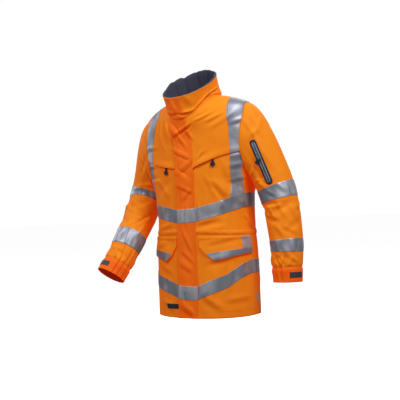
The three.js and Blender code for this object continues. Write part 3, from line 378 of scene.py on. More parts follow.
def dressed_body(angle, t):
    """The body's surface with its creases."""
    p = body(angle, t)
    push = BODY_DEPTH * body_creases(angle, t)
    push = push + ripple(angle, t, BODY_REACH, BODY_HEIGHT) * smooth((0.97 - t) / 0.1)
    push = push * smooth((1 - t) / 0.03)
    out = np.stack([np.cos(angle) + 0 * t, np.sin(angle) + 0 * t, 0 * (angle + t)], -1)
    return p + out * push[..., None]


def arm_half(t):
    m, h = (ARM_LOW + ARM_TOP) / 2, (ARM_TOP - ARM_LOW) / 2
    return ARM_HALF * np.sqrt(np.maximum(0, 1 - ((t - m) / h) ** 2))


def front(u, t):
    """Front of the body, u from -1 at the right side or armhole to 1 at the left one."""
    return dressed_body(-math.pi / 2 + u * (math.pi / 2 - arm_half(t)), t)


def back(u, t):
    """Back of the body, u from -1 at the right side to 1 at the left one."""
    return dressed_body(math.pi / 2 - u * (math.pi / 2 - arm_half(t)), t)


def sleeve_ring(theta, s, side):
    table = SLEEVES[side]
    row = along(table, s)
    ahead, behind = (along(table, np.clip(s + by, 0, 1))[..., :3] for by in (0.01, -0.01))
    run = unit(ahead - behind)
    out = np.zeros_like(run)
    out[..., 0] = side
    out = unit(out - (out * run).sum(-1, keepdims=True) * run)
    fore = np.cross(run, out)
    fore = np.where(fore[..., 1:2] > 0, -fore, fore)
    push = folds(SLEEVE_FOLDS[side], theta, s, SLEEVE_REACH, SLEEVE_LENGTH)
    push = push + SLEEVE_DEPTH * sleeve_creases[side](theta, s)
    push = push + ripple(theta, s, SLEEVE_REACH, SLEEVE_LENGTH, 0.3)
    push = push * smooth((0.931 - s) / 0.012)
    push = push - CUFF_PINCH * bell((s - CUFF_SEAM) / 0.008)
    point = (row[..., :3] + out * ((row[..., 3] + push) * np.cos(theta))[..., None]
             + fore * ((row[..., 4] + push) * np.sin(theta))[..., None])
    return point, run


def sleeve(theta, s, side):
    """Outer surface of a sleeve. Theta 0 is outward and it runs to the front first."""
    theta, s = np.broadcast_arrays(np.asarray(theta, float), np.asarray(s, float))
    point, run = sleeve_ring(theta, np.maximum(s, HEAD_END), side)
    t = (ARM_LOW + ARM_TOP) / 2 + (ARM_TOP - ARM_LOW) / 2 * np.cos(theta)
    half = ARM_HALF * np.sin(theta)
    hole = dressed_body(-half if side > 0 else math.pi + half, t)
    chord = np.linalg.norm(point - hole, axis=-1, keepdims=True)
    top = (1 + np.cos(theta)) / 2
    # The way in which the sleeve's head leaves the armhole, flatter at its top
    leave = unit(np.stack([side * (0.62 + 0.30 * top), -0.25 * np.sin(theta), -0.75 + 0.35 * top], -1))
    q = np.clip(s / HEAD_END, 0, 1)[..., None]
    head = ((2 * q**3 - 3 * q**2 + 1) * hole + (q**3 - 2 * q**2 + q) * leave * chord * HEAD_PULL
            + (3 * q**2 - 2 * q**3) * point + (q**3 - q**2) * run * chord * HEAD_DROP)
    push = SLEEVE_DEPTH * sleeve_creases[side](theta, s)
    push = push * smooth(s / 0.05) * smooth((HEAD_END - s) / 0.02)
    push = push + HEAD_SWELL * smooth(s / 0.014) * (1 - smooth((s - 0.03) / 0.12))
    middle = along(SLEEVES[side], s)[..., :3]
    head = head + unit(head - middle) * push[..., None]
    return np.where(s[..., None] < HEAD_END, head, point)


def collar(angle, s):
    """Outer surface of the collar, from the neck ring (s 0) to its tipped top ring (s 1)."""
    angle, s = np.broadcast_arrays(np.asarray(angle, float), np.asarray(s, float))
    k = COLLAR
    c, n = np.cos(angle), np.sin(angle)
    depth = np.where(n < 0, k["fore"], k["aft"])
    reach = (np.abs(c / k["half"]) ** COLLAR_POWER + np.abs(n / depth) ** COLLAR_POWER) ** (-1 / COLLAR_POWER)
    x, y = reach * c, reach * n
    top = np.stack([x, y + k["mid"], k["level"] + k["tip_y"] * y + k["tip_x"] * x], -1)
    p = dressed_body(angle, np.ones_like(s)) * (1 - s[..., None]) + top * s[..., None]
    push = COLLAR_DEPTH * collar_creases(angle, s) * smooth(s / 0.08)
    push = push + ripple(angle, s, COLLAR_REACH, COLLAR_HEIGHT, 0.4) * smooth(s / 0.1)
    push = push + COLLAR_SWELL * smooth(s / 0.05) * (1 - smooth((s - 0.10) / 0.4))
    out = np.stack([c, n, 0 * c], -1)
    return p + out * push[..., None]


def line(table, column=1):
    """Straight runs through a table's rows, as a function of its first column."""
    xs, ys = [r[0] for r in table], [r[column] for r in table]
    return lambda at: np.interp(at, xs, ys)


def solve(value, low, high, count, rounds=34):
    """Where value(at) passes zero from below to above, for every entry."""
    a, b = np.full(count, float(low)), np.full(count, float(high))
    for _ in range(rounds):
        m = (a + b) / 2
        under = value(m) < 0
        a, b = np.where(under, m, a), np.where(under, b, m)
    return (a + b) / 2


def level_of(surface, outline, by=0.0):
    """Level t at which a surface meets an outline z(x), as a function of u."""
    us = np.linspace(-1, 1, EDGE_STEPS)

    def miss(t):
        p = surface(us, t)
        return p[..., 2] - outline(p[..., 0]) - by

    ts = solve(miss, 0, 1, len(us))
    return lambda u: np.interp(u, us, ts)


def across_of(surface, outline, by=0.0, low=-1, high=1):
    """Place u at which a surface meets an outline x(z), as a function of t."""
    ts = np.linspace(0, 1, EDGE_STEPS)

    def miss(u):
        p = surface(u, ts)
        return p[..., 0] - outline(p[..., 2]) - by

    us = solve(miss, low, high, len(ts))
    return lambda t: np.interp(t, ts, us)


def back_to(side, outline):
    """Place u on one half of the front that lies as far back as y(z), as a function of t."""
    ts = np.linspace(0, 1, EDGE_STEPS)

    def miss(q):
        p = front(side * q, ts)
        return p[..., 1] - outline(p[..., 2])

    qs = solve(miss, 0.3, 1, len(ts))
    return lambda t: side * np.interp(t, ts, qs)


def flat(value):
    return lambda at: value + 0 * at


def ordered(side, near, far):
    """Edges nearer to and farther from the middle, in the order in which u rises."""
    return (near, far) if side > 0 else (far, near)


def patch(u_low, u_high, t_low, t_high, cols, rows):
    """Places of a grid that fills the region between four edges."""
    c, r = np.linspace(0, 1, cols)[None, :], np.linspace(0, 1, rows)[:, None]
    u, t = 0 * r + c, r + 0 * c
    for _ in range(6):
        u = u_low(t) * (1 - c) + u_high(t) * c
        t = t_low(u) * (1 - r) + t_high(u) * r
    return u, t


def normals(surface, u, t):
    """Outward normals of a surface, away from the object's own middle line."""
    step = 2e-3
    du = surface(u + step, t) - surface(u - step, t)
    dt = surface(u, np.maximum(np.minimum(t + step, 1), t)) - surface(u, np.maximum(t - step, 0))
    return unit(np.cross(du, dt))


# ---------------------------------------------------------------- meshes

MATERIALS = {}
BODY_NAME = "jacket"


def body_middle(points):
    """Places on the body's own middle line, level with the points."""
    return points * (0, 0, 1) + (0, MIDDLE_Y, 0)


def outward(points, n, middle):
    """Normals turned so that they point away from the middle."""
    sign = np.sign(((points - middle) * n).sum(-1).mean())
    return n * (sign if sign else 1)


def make(name, points, faces, look, uv=None, inner=None, inside=None):
    """A mesh piece from points in millimetres and faces with three or four corners.
    inner marks the faces that have the look named inside."""
    mesh = bpy.data.meshes.new(name)
    mesh.from_pydata((np.asarray(points) * MM).tolist(), [], faces)
    mesh.polygons.foreach_set("use_smooth", [True] * len(mesh.polygons))
    mesh.materials.append(MATERIALS[look])
    if inside is not None:
        mesh.materials.append(MATERIALS[inside])
        mesh.polygons.foreach_set("material_index", inner)
    if uv is not None:
        layer = mesh.uv_layers.new(name="cloth")
        corner = np.empty(len(mesh.loops), dtype=np.int32)
        mesh.loops.foreach_get("vertex_index", corner)
        layer.data.foreach_set("uv", (np.asarray(uv) * MM)[corner].ravel())
    mesh.update()
    piece = bpy.data.objects.new(name, mesh)
    bpy.context.scene.collection.objects.link(piece)
    return piece


def lengths(points):
    """Mean distances along a grid's columns and rows, for cloth coordinates."""
    across = np.linalg.norm(np.diff(points, axis=1), axis=-1).mean(0)
    up = np.linalg.norm(np.diff(points, axis=0), axis=-1).mean(1)
    return np.concatenate([[0], np.cumsum(across)]), np.concatenate([[0], np.cumsum(up)])


RIM = np.radians((45, 90, 135))  # corners of a rounded edge


def shell(name, points, n, low, high, look, wrap=False, inside=None):
    """A closed wall of cloth between two distances from a grid, with rounded edges."""
    rows, cols = points.shape[:2]
    low, high = np.broadcast_to(low, (rows, cols)), np.broadcast_to(high, (rows, cols))
    outer, inner = points + n * high[..., None], points + n * low[..., None]
    us, vs = lengths(points)
    uv = np.stack(np.meshgrid(us, vs), -1).reshape(-1, 2)
    verts = [outer.reshape(-1, 3), inner.reshape(-1, 3)]
    uvs = [uv, uv]
    count = rows * cols
    j, i = np.meshgrid(np.arange(rows - 1), np.arange(cols if wrap else cols - 1), indexing="ij")
    a, b = j * cols + i, j * cols + (i + 1) % cols
    c, d = (j + 1) * cols + (i + 1) % cols, (j + 1) * cols + i
    quads = [np.stack([a, b, c, d], -1).reshape(-1, 4), count + np.stack([a, d, c, b], -1).reshape(-1, 4)]
    kinds = [np.zeros(len(quads[0]), int), np.ones(len(quads[1]), int)]

    def rim(loop, away):
        size = len(loop)
        flat_outer, flat_inner = outer.reshape(-1, 3)[loop], inner.reshape(-1, 3)[loop]
        middle, half = (flat_outer + flat_inner) / 2, (flat_outer - flat_inner) / 2
        thick = np.linalg.norm(half, axis=-1, keepdims=True)
        base = sum(len(v) for v in verts)
        for turn in RIM:
            verts.append(middle + half * math.cos(turn) + away * thick * math.sin(turn))
            uvs.append(uv[loop])
        ring = [loop] + [base + k * size + np.arange(size) for k in range(len(RIM))] + [count + loop]
        k = np.arange(size)
        m = (k + 1) % size
        for one, two in zip(ring[:-1], ring[1:]):
            quads.append(np.stack([one[k], two[k], two[m], one[m]], -1))
            kinds.append(np.zeros(len(k), int))

    def away_from(edge, next_in, normal):
        e = edge - next_in
        return unit(e - (e * normal).sum(-1, keepdims=True) * normal)

    ids = np.arange(count).reshape(rows, cols)
    low_away = away_from(points[0], points[1], n[0])
    high_away = away_from(points[-1], points[-2], n[-1])
    if wrap:
        rim(ids[0], low_away)
        rim(ids[-1][::-1], high_away[::-1])
    else:
        left_away = away_from(points[:, 0], points[:, 1], n[:, 0])
        right_away = away_from(points[:, -1], points[:, -2], n[:, -1])
        away = np.zeros((rows, cols, 3))
        away[0] += low_away
        away[-1] += high_away
        away[:, 0] += left_away
        away[:, -1] += right_away
        loop = np.concatenate([ids[0, :-1], ids[:-1, -1], ids[-1, :0:-1], ids[:0:-1, 0]])
        rim(loop, unit(away.reshape(-1, 3)[loop]))
    verts, faces = np.concatenate(verts), np.concatenate(quads)
    p = verts[faces]
    volume = (np.einsum("ij,ij->i", p[:, 0], np.cross(p[:, 1], p[:, 2]))
              + np.einsum("ij,ij->i", p[:, 0], np.cross(p[:, 2], p[:, 3]))).sum()
    if volume < 0:
        faces = faces[:, ::-1]
    return make(name, verts, faces.tolist(), look, np.concatenate(uvs),
                np.concatenate(kinds).tolist() if inside else None, inside)


def keep(piece, look, *nodes):
    """The piece rides on the jacket and stands for its nodes. look is not used."""
    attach(piece, BODY_NAME)
    if nodes:
        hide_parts(*nodes)


def lay(name, surface, u, t, low, high, look, nodes=None, inside=None):
    """A piece of cloth between two distances from the body, each a number or a function of its points."""
    points = surface(u, t)
    n = outward(points, normals(surface, u, t), body_middle(points))
    lift = [part(points) if callable(part) else part for part in (low, high)]
    keep(shell(name, points, n, *lift, look, inside=inside), look, *(nodes or [name]))


# ---------------------------------------------------------------- materials


class Look:
    """A node material with short words for the nodes that it needs."""

    def __init__(self, name, roughness, metallic=0.0, specular=0.5):
        self.material = bpy.data.materials.new(name)
        self.material.use_nodes = True
        self.tree = self.material.node_tree
        self.shader = self.tree.nodes["Principled BSDF"]
        self.set("Roughness", roughness)
        self.set("Metallic", metallic)
        self.set("Specular IOR Level", specular)
        MATERIALS[name] = self.material

    def set(self, socket, value):
        self.shader.inputs[socket].default_value = value

    def node(self, kind, links=(), **values):
        made = self.tree.nodes.new(kind)
        for key, value in values.items():
            setattr(made, key, value)
        for socket, source in dict(links).items():
            if hasattr(source, "is_output"):
                self.tree.links.new(source, made.inputs[socket])
            else:
                made.inputs[socket].default_value = source
        return made

    def math(self, operation, a, b=0.0):
        return self.node("ShaderNodeMath", {0: a, 1: b}, operation=operation).outputs[0]

    def cloth(self):
        """Cloth coordinates in metres, along and across the piece."""
        uv = self.node("ShaderNodeUVMap", uv_map="cloth").outputs[0]
        split = self.node("ShaderNodeSeparateXYZ", {0: uv})
        return split.outputs[0], split.outputs[1]

    def noise(self, scale, detail=2.0, vector=None):
        """Noise in the object's own coordinates, or in those given."""
        place = vector or self.node("ShaderNodeTexCoord").outputs["Object"]
        return self.node("ShaderNodeTexNoise", {
            "Vector": place, "Scale": scale, "Detail": detail, "Roughness": 0.5,
        }).outputs["Fac"]

    def remap(self, value, low, high, to_low, to_high):
        return self.node("ShaderNodeMapRange", {
            "Value": value, "From Min": low, "From Max": high, "To Min": to_low, "To Max": to_high,
        }).outputs[0]

    def mix(self, factor, a, b):
        made = self.node("ShaderNodeMix", data_type="RGBA", clamp_factor=True)
        for socket, source in ((made.inputs[0], factor), (made.inputs[6], a), (made.inputs[7], b)):
            if hasattr(source, "is_output"):
                self.tree.links.new(source, socket)
            else:
                socket.default_value = source
        return made.outputs[2]

    def feed(self, socket, source):
        self.tree.links.new(source, self.shader.inputs[socket])

    def bump(self, height, distance, strength):
        made = self.node("ShaderNodeBump", {"Strength": strength, "Distance": distance, "Height": height})
        self.feed("Normal", made.outputs[0])

    def weave(self, pitch):
        """Plain weave: over and under threads of one pitch, in metres."""
        u, v = self.cloth()
        waves = [self.math("SINE", self.math("MULTIPLY", part, 2 * math.pi / pitch)) for part in (u, v)]
        return self.math("MULTIPLY", *waves)


def rgb(*shades):
    """Linear colour from the usual screen values."""
    linear = [c / 255 / 12.92 if c <= 10 else ((c / 255 + 0.055) / 1.055) ** 2.4 for c in shades]
    return (*linear, 1.0)


PAINTED_RED_GLOW = (1.0, 0.012, 0.0, 1.0)  # painted red glow, the same under any lamp: it stands in for the orange's fluorescence and keeps its shaded parts bright red


def cloth_look(name, light, dark, glow=0.0, pitch=0.0011, roughness=0.62):
    """Plain woven cloth, a little uneven in shade at random. pitch is the width of a thread and its gap. glow
    is the strength of a painted red glow that lifts the cloth's shade.
    """
    look = Look(name, roughness, specular=0.14)
    broad = look.remap(look.noise(9.0, 3.0), 0.3, 0.7, 0.0, 1.0)
    fine = look.remap(look.noise(420.0, 1.0), 0.2, 0.8, 0.0, 1.0)
    weave = look.weave(pitch)
    shade = look.math("ADD", look.math("MULTIPLY", broad, 0.55), look.math("MULTIPLY", fine, 0.25))
    shade = look.math("ADD", shade, look.math("MULTIPLY", weave, 0.10))
    look.feed("Base Color", look.mix(shade, light, dark))
    look.feed("Roughness", look.remap(fine, 0.0, 1.0, roughness - 0.05, roughness + 0.08))
    look.bump(look.math("ADD", weave, look.math("MULTIPLY", fine, 0.6)), 0.0002, 0.16)
    # Painted light: a red glow, the same under any lamp, keeps the cloth's shaded parts bright red
    if glow:
        look.set("Emission Color", PAINTED_RED_GLOW)
        look.set("Emission Strength", glow)


def tape_look(name, light, dark):
    """Reflective tape: glass beads in a grey coat, with painted reflection streaks as soft light and dark
    bands along it.
    """
    look = Look(name, 0.42, metallic=0.55, specular=0.4)
    broad = look.remap(look.noise(14.0, 2.0), 0.3, 0.7, 0.0, 1.0)
    beads = look.noise(1500.0, 1.0)
    along_tape, across_tape = look.cloth()
    # Painted reflection: light and dark streaks stretched along the tape stand for the lamps' reflections on
    # its folds
    spread = look.node("ShaderNodeCombineXYZ", {
        0: look.math("MULTIPLY", along_tape, 15.0), 1: look.math("MULTIPLY", across_tape, 6.0), 2: broad})
    painted_streaks = look.remap(look.noise(1.0, 0.0, spread.outputs[0]), 0.34, 0.66, 0.0, 1.0)
    shade = look.math("ADD", look.math("MULTIPLY", painted_streaks, 0.75), look.math("MULTIPLY", beads, 0.25))
    look.feed("Base Color", look.mix(shade, light, dark))
    look.feed("Roughness", look.remap(beads, 0.2, 0.8, 0.40, 0.54))
    look.bump(beads, 0.0001, 0.12)


def plastic_look(name, light, dark, roughness):
    """A smooth surface with a fine grain, also for labels and thread."""
    look = Look(name, roughness, specular=0.45)
    grain = look.noise(900.0, 2.0)
    look.feed("Base Color", look.mix(grain, light, dark))
    look.feed("Roughness", look.remap(grain, 0.2, 0.8, roughness - 0.06, roughness + 0.08))
    look.bump(grain, 0.0001, 0.1)


# Each glow here is a painted red glow over the orange cloth, the same under any lamp
cloth_look("orange", rgb(211, 141, 20), rgb(202, 127, 15), glow=0.27)
# Darker, redder copy of the orange for the storm flap: its deeper tone is painted shade
cloth_look("orange_deep", rgb(206, 116, 16), rgb(198, 103, 12), glow=0.28)
# Darker copy of the orange for the insides of the sleeves and cuffs: painted shade, with a weaker painted
# glow
cloth_look("orange_inside_painted_shade", rgb(160, 76, 12), rgb(150, 64, 9), glow=0.14)
# Darker, redder copy of the orange for the cuffs: their deeper tone is painted shade
cloth_look("orange_cuff_painted_shade", rgb(207, 109, 14), rgb(199, 96, 11), glow=0.29)
cloth_look("navy", rgb(77, 77, 93), rgb(58, 58, 75), pitch=0.0009, roughness=0.7)
# The tape's light and dark colours are the two ends of its painted reflection streaks
tape_look("silver", rgb(194, 196, 205), rgb(132, 135, 146))
plastic_look("black", rgb(40, 43, 54), rgb(28, 30, 40), 0.42)
plastic_look("label", rgb(34, 35, 40), rgb(24, 25, 30), 0.66)
plastic_look("tab", rgb(62, 64, 70), rgb(48, 50, 56), 0.6)
plastic_look("pale", rgb(128, 196, 196), rgb(112, 182, 184), 0.7)
plastic_look("teeth", rgb(38, 41, 52), rgb(26, 28, 38), 0.35)
plastic_look("zip_cloth", rgb(150, 155, 168), rgb(124, 130, 144), 0.75)
# Real stitches, coloured darker and redder than the cloth to paint the shade along the seam lines
plastic_look("thread", rgb(176, 74, 12), rgb(150, 58, 8), 0.6)
plastic_look("grey_thread", rgb(150, 152, 160), rgb(130, 132, 140), 0.6)

# ---------------------------------------------------------------- body cloth

yoke_line, chest_line, hem_line, waist_line = (line(t) for t in (YOKE_LINE, CHEST_LEVEL, HEM_LEVEL, WAIST))
placket_from, placket_to = line(PLACKET, 1), line(PLACKET, 2)


def yoke_foot(p):
    return p[..., 2] - yoke_line(p[..., 0])


def yoke_lift(p):
    """The yoke lies over the fronts, and its lower edge stands off a little over the pocket zips."""
    lip = smooth((30 - yoke_foot(p)) / 30) * (2.2 + 3.4 * bell((p[..., 0] - 78) / 36)
                                              + 3.0 * bell((p[..., 0] + 84) / 32))
    return (CLOTH + GAP) * (1 - smooth((yoke_foot(p) - 70) / 70)) + lip


def placket_lift(p):
    return GAP + (CLOTH + GAP) * smooth((yoke_foot(p) + 90) / 45) * (1 - smooth((yoke_foot(p) - 70) / 70))


def over(lift, by):
    return lambda p: lift(p) + by


def crown(p):
    """The storm flap stands proud of the front along its free edge and swells a little in the middle."""
    x, z = p[..., 0], p[..., 2]
    share = (x - placket_from(z)) / (placket_to(z) - placket_from(z))
    free = smooth((0.9 - share) / 0.9)
    swell = np.sin(np.clip(share, 0, 1) * math.pi) ** 0.7
    uneven = 1 + 0.35 * np.sin(z / 41.0 + 0.6) + 0.25 * np.sin(z / 17.0 + 1.9)
    bead = 1.5 * bell((share - 0.03) / 0.05) - 1.2 * bell((share - 0.14) / 0.035)
    sewn = 1.3 * bell((share - 0.93) / 0.03)
    return 4.6 * free + 2.4 * swell * uneven + bead - sewn * swell


bottom, top = flat(0.0), flat(1.0)
side_l, side_r = flat(1), flat(-1)
MID = 0.0008  # the fronts stop this far short of the middle
front_yoke = level_of(front, yoke_line)
front_top = level_of(front, yoke_line, YOKE_OVER)
for kind, t_low, t_high, rows, low, high in (
        ("front", bottom, front_top, 150, -CLOTH, 0),
        ("yoke", front_yoke, top, 70, over(yoke_lift, -CLOTH), yoke_lift)):
    for side, word in SIDES.items():
        edges = ordered(side, flat(side * MID), flat(side))
        lay(f"{kind}_{word}", front, *patch(*edges, t_low, t_high, 76, rows), low, high, "orange",
            inside="navy")
lay("back", back, *patch(side_r, side_l, bottom, top, 150, 190), -CLOTH, 0, "orange", inside="navy")

# Storm flap over the front zip
flap_from = across_of(front, placket_from)
flap_to = across_of(front, placket_to)


def flap_lift(p):
    return placket_lift(p) + crown(p) * smooth((-98 - p[..., 2]) / 30)


# The storm flap takes the darker copy of the orange, painted shade
lay("placket", front, *patch(flap_from, flap_to, bottom, top, 56, 230), flap_lift, over(flap_lift, CLOTH),
    "orange_deep")

# Reflective hoops


def hoop(outline, high=HOOP):
    return level_of(front, outline, -high), level_of(front, outline)


def hoop_back(table, high=HOOP):
    outline = line(table)
    return level_of(back, outline, -high), level_of(back, outline)


def tape(name, surface, u_low, u_high, levels, cols, rows=14, lift=GAP, thick=TAPE, look="silver"):
    """A strip of cloth. lift and thick are distances, or functions of its points."""
    def top_of(p):
        return (lift(p) if callable(lift) else lift) + (thick(p) if callable(thick) else thick)

    lay(name, surface, *patch(u_low, u_high, *levels, cols, rows), lift, top_of, look)


edge_from = across_of(front, placket_from, -0.4)
edge_to = across_of(front, placket_to, 0.4)
in_from = across_of(front, placket_from, -0.7)
in_to = across_of(front, placket_to, 0.7)
on_placket = over(flap_lift, CLOTH + 0.1)
for word, outline, back_table in (("chest", chest_line, BACK_CHEST), ("hem", hem_line, BACK_HEM)):
    levels = hoop(outline)
    tape(f"{word}_tape_left", front, edge_to, side_l, levels, 70)
    tape(f"{word}_tape_right", front, side_r, edge_from, levels, 60)
    tape(f"{word}_tape_placket", front, in_from, in_to, levels, 24, lift=on_placket)
    tape(f"{word}_tape_back", back, side_r, side_l, hoop_back(back_table), 120)

# Braces over the shoulders
for side, word in SIDES.items():
    near, far, reach_y = (line(BRACES[side], column) for column in (1, 2, 3))
    edge, stop = across_of(front, far), back_to(side, reach_y)
    nearer = np.minimum if side > 0 else np.maximum
    sides = ordered(side, across_of(front, near), lambda t: nearer(edge(t), stop(t)))
    levels = level_of(front, chest_line, 0.4), level_of(front, yoke_line, -0.5)
    tape(f"brace_low_{word}", front, *sides, levels, 16, 50)
    # the level at which the brace meets the shoulder line
    tip = solve(lambda t: side * (near(0) - front(np.full(1, float(side)), t)[..., 0]), 0.8, 1, 1)[0]
    tape(f"brace_top_{word}", front, *sides, (level_of(front, yoke_line, 0.8), flat(tip)), 16, 60,
         lift=over(yoke_lift, 0.1))
    behind = [across_of(back, line(BRACES_BACK[side], column)) for column in (1, 2)]
    levels = level_of(back, line(BACK_CHEST), 0.4), flat(tip)
    tape(f"brace_back_{word}", back, *ordered(side, *behind), levels, 16, 90)

# Casing of the waist cord, which swells between its two rows of stitches
waist = hoop(waist_line, WAIST_HIGH)
CASING, CASING_SWELL = 0.7, 2.0


def casing(p):
    share = np.clip((waist_line(p[..., 0]) - p[..., 2]) / WAIST_HIGH, 0, 1)
    pucker = 1 + 0.25 * np.sin(p[..., 0] / 5.3 + 1.2 * np.sin(p[..., 0] / 19.0))
    return CASING + CASING_SWELL * pucker * np.sin(math.pi * np.clip((share - 0.1) / 0.8, 0, 1)) ** 0.7


as_casing = {"rows": 12, "thick": casing, "look": "orange"}
tape("waist_band_left", front, edge_to, side_l, waist, 90, **as_casing)
tape("waist_band_right", front, side_r, edge_from, waist, 80, **as_casing)
tape("waist_band_back", back, side_r, side_l, hoop_back(WAIST, WAIST_HIGH), 150, **as_casing)


def pocket_lift(p):
    """The flaps hang free of the pockets, most of all along their lower edge."""
    drop = smooth((FLAP_TOP - p[..., 2]) / 60)
    fold = 1.6 * bell((p[..., 2] - FLAP_TOP + 6) / 6)
    return GAP + drop * (4.2 + 0.9 * np.sin(p[..., 0] / 21.0)) + fold


# Pocket flaps with a reflective strip down the outer edge and along the bottom
flap_top = level_of(front, flat(FLAP_TOP))
for side, word in SIDES.items():
    ends = ordered(side, across_of(front, flat(FLAP_NEAR[side])), flat(side * FLAP_END))
    places = patch(*ends, level_of(front, line(FLAP_FEET[side])), flap_top, 60, 34)
    lay(f"pocket_flap_{word}", front, *places, pocket_lift, over(pocket_lift, CLOTH), "orange")

on_flap = over(pocket_lift, CLOTH + 0.1)
FLAP_STRIP = [(76, -583), (186, -568), (260, -568)]
STRIP_NEAR, FLAP_POST = 78, -70  # where the strip starts, and how far back its upright end starts
for side, word in SIDES.items():
    strip = line(sorted((side * x, z) for x, z in FLAP_STRIP))
    outer = flat(side * (FLAP_END - 0.004))
    for piece, inner, low, high, cols, rows in (
            ("flap_tape", across_of(front, flat(side * STRIP_NEAR)),
             level_of(front, line(FLAP_FEET[side]), 0.8), level_of(front, strip), 50, 10),
            ("flap_tape_side", back_to(side, flat(FLAP_POST)), level_of(front, strip, 0.2),
             level_of(front, flat(FLAP_TOP - 1.5)), 16, 24)):
        lay(f"{piece}_{word}", front, *patch(*ordered(side, inner, outer), low, high, cols, rows), on_flap,
            over(on_flap, TAPE), "silver", nodes=[f"flap_tape_{word}"])

# Bare label near the hem and bare tag in the side seam
label_u = (across_of(front, flat(LABEL["from"])), across_of(front, flat(LABEL["to"])))
label_t = (level_of(front, flat(LABEL["low"])), level_of(front, flat(LABEL["high"])))
lay("hem_label", front, *patch(*label_u, *label_t, 12, 6), GAP, GAP + LABEL["thick"], "label")
tag_u = flat(math.radians(TAG["from"])), flat(math.radians(TAG["to"]))
lay("side_tag", dressed_body, *patch(*tag_u, flat(TAG["low"]), flat(TAG["high"]), 5, 6),
    GAP, GAP + TAG["thick"], "pale")

# ---------------------------------------------------------------- sleeves and cuffs


def tube(name, surface, cols, levels, low, high, look, inside=None, centre=None, change=None):
    """A piece of cloth that runs all round a sleeve or the collar. centre gives its middle line."""
    u, t = np.meshgrid(np.arange(cols) * 2 * math.pi / cols, levels)
    points = surface(u, t)
    middle = points.mean(axis=1, keepdims=True) if centre is None else centre(t)
    n = outward(points, normals(surface, u, t), middle)
    if change is not None:
        points = points + n * change(u, t)[..., None]
    lift = [part(u, t) if callable(part) else part for part in (low, high)]
    keep(shell(name, points, n, *lift, look, wrap=True, inside=inside), look, name)


# Tabs in degrees round the cuff, and where the gathers start on the front side
CUFF_TABS = {1: {"from": 1, "to": 58, "gather": 62}, -1: {"from": 10, "to": 103, "gather": 106}}


def gather(u, t, side):
    """Elastic draws the inner half of a cuff, and the sleeve's end above it, into small uneven folds."""
    degrees = np.degrees(turn_to(u, 0))
    start = np.where(degrees > 0, CUFF_TABS[side]["gather"], 60)
    inside = smooth((np.abs(degrees) - start) / 16)
    past = t - CUFF_SEAM
    grip = np.where(past > 0, 1 - 0.3 * smooth((past - 0.05) / 0.017), bell(past / 0.020))
    lift = np.sin(15 * u + 1.1 * np.sin(3 * u) + 12 * past) + 0.5 * np.sin(31 * u + 1.1 + 26 * past)
    crinkle = 0.35 * np.sin(47 * u + 90 * past) * np.sin(past * 160 + 5 * u)
    dip = 0.8 * np.sin(np.clip(past / 0.067, 0, 1) * math.pi * 2)
    return inside * grip * (2.3 * lift + 1.6 * crinkle - 1.9 + dip)


SLEEVE_LEVELS = np.concatenate([np.linspace(0, 0.30, 56)[:-1], np.linspace(0.30, 0.86, 84)[:-1],
                                np.linspace(0.86, CUFF_SEAM, 30)])
TAB_LEVELS, TAB_THICK = np.linspace(0.956, 0.979, 8), 1.5


def sleeve_middle(t, side):
    return along(SLEEVES[side], t)[..., :3]


for side, word in SIDES.items():
    surface, gathers = partial(sleeve, side=side), partial(gather, side=side)
    # The insides of the sleeve and cuff take the darker copy of the orange, painted shade
    tube(f"sleeve_{word}", surface, 180, SLEEVE_LEVELS, -CLOTH, 0, "orange", inside="orange_inside_painted_shade",
         change=gathers)
    for place, (low, high) in SLEEVE_TAPES[side].items():
        tube(f"sleeve_tape_{place}_{word}", surface, 116, np.linspace(low, high, 14), GAP, GAP + TAPE,
             "silver")
    # The cuff takes the darker copy of the orange, painted shade
    tube(f"cuff_{word}", surface, 220, np.linspace(CUFF_SEAM, 1, 26), -CLOTH, 0.2, "orange_cuff_painted_shade",
         inside="orange_inside_painted_shade", change=gathers)
    tab = CUFF_TABS[side]
    u, t = np.meshgrid(np.radians(np.linspace(tab["from"], tab["to"] - 1, 30)), TAB_LEVELS)
    points = surface(u, t)
    n = outward(points, normals(surface, u, t), sleeve_middle(t, side))
    keep(shell(f"cuff_tab_{word}", points, n, GAP, GAP + TAB_THICK, "tab"), "tab", f"cuff_tab_{word}")

# ---------------------------------------------------------------- collar

NECK_Y, NECK_Z, NECK_RISE = -66, -36, 88  # middle line of the neck, from the ring to the collar's top


def collar_middle(t):
    return np.stack([0 * t, NECK_Y + (COLLAR["mid"] - NECK_Y) * t, NECK_Z + NECK_RISE * t], -1)


tube("collar_outer", collar, 150, np.linspace(0, 1, 36), -CLOTH, 0, "orange", inside="navy",
     centre=collar_middle)

LINING, LINING_RISE = 5.0, 0.035
TUCKS = (8, 38, 71, 102, 132, 157, 186, 214, 242, 296, 334)  # degrees round the collar
TUCK_WIDE = 0.075


def tuck(u):
    """How near a place is to an upright tuck of the padding, from 0 to 1."""
    return np.max([bell(turn_to(u, at) / TUCK_WIDE) for at in TUCKS], axis=0)


def lining_wave(u, t):
    """Padding swells between soft upright tucks, and the top edge rolls over unevenly."""
    swell = 3.6 * tuck(u) - 1.8 + 0.5 * np.sin(7 * u + 0.6)
    return swell * smooth(t / 0.4) * (0.6 + 0.4 * smooth((1.02 - t) / 0.25))


def rolled(share):
    """A quarter round, from 0 at its start to 1 at its end."""
    return 1 - np.sqrt(np.clip(1 - np.clip(share, 0, 1) ** 2, 0, 1))


def neck_back(u):
    """1 behind the neck and 0 in front of it."""
    return smooth((np.sin(u) + 0.55) / 0.8)


def lining_in(u, t):
    roll = rolled((t - 0.93) / (0.07 + LINING_RISE))
    return -CLOTH - GAP - LINING + lining_wave(u, t) + 2.6 * roll


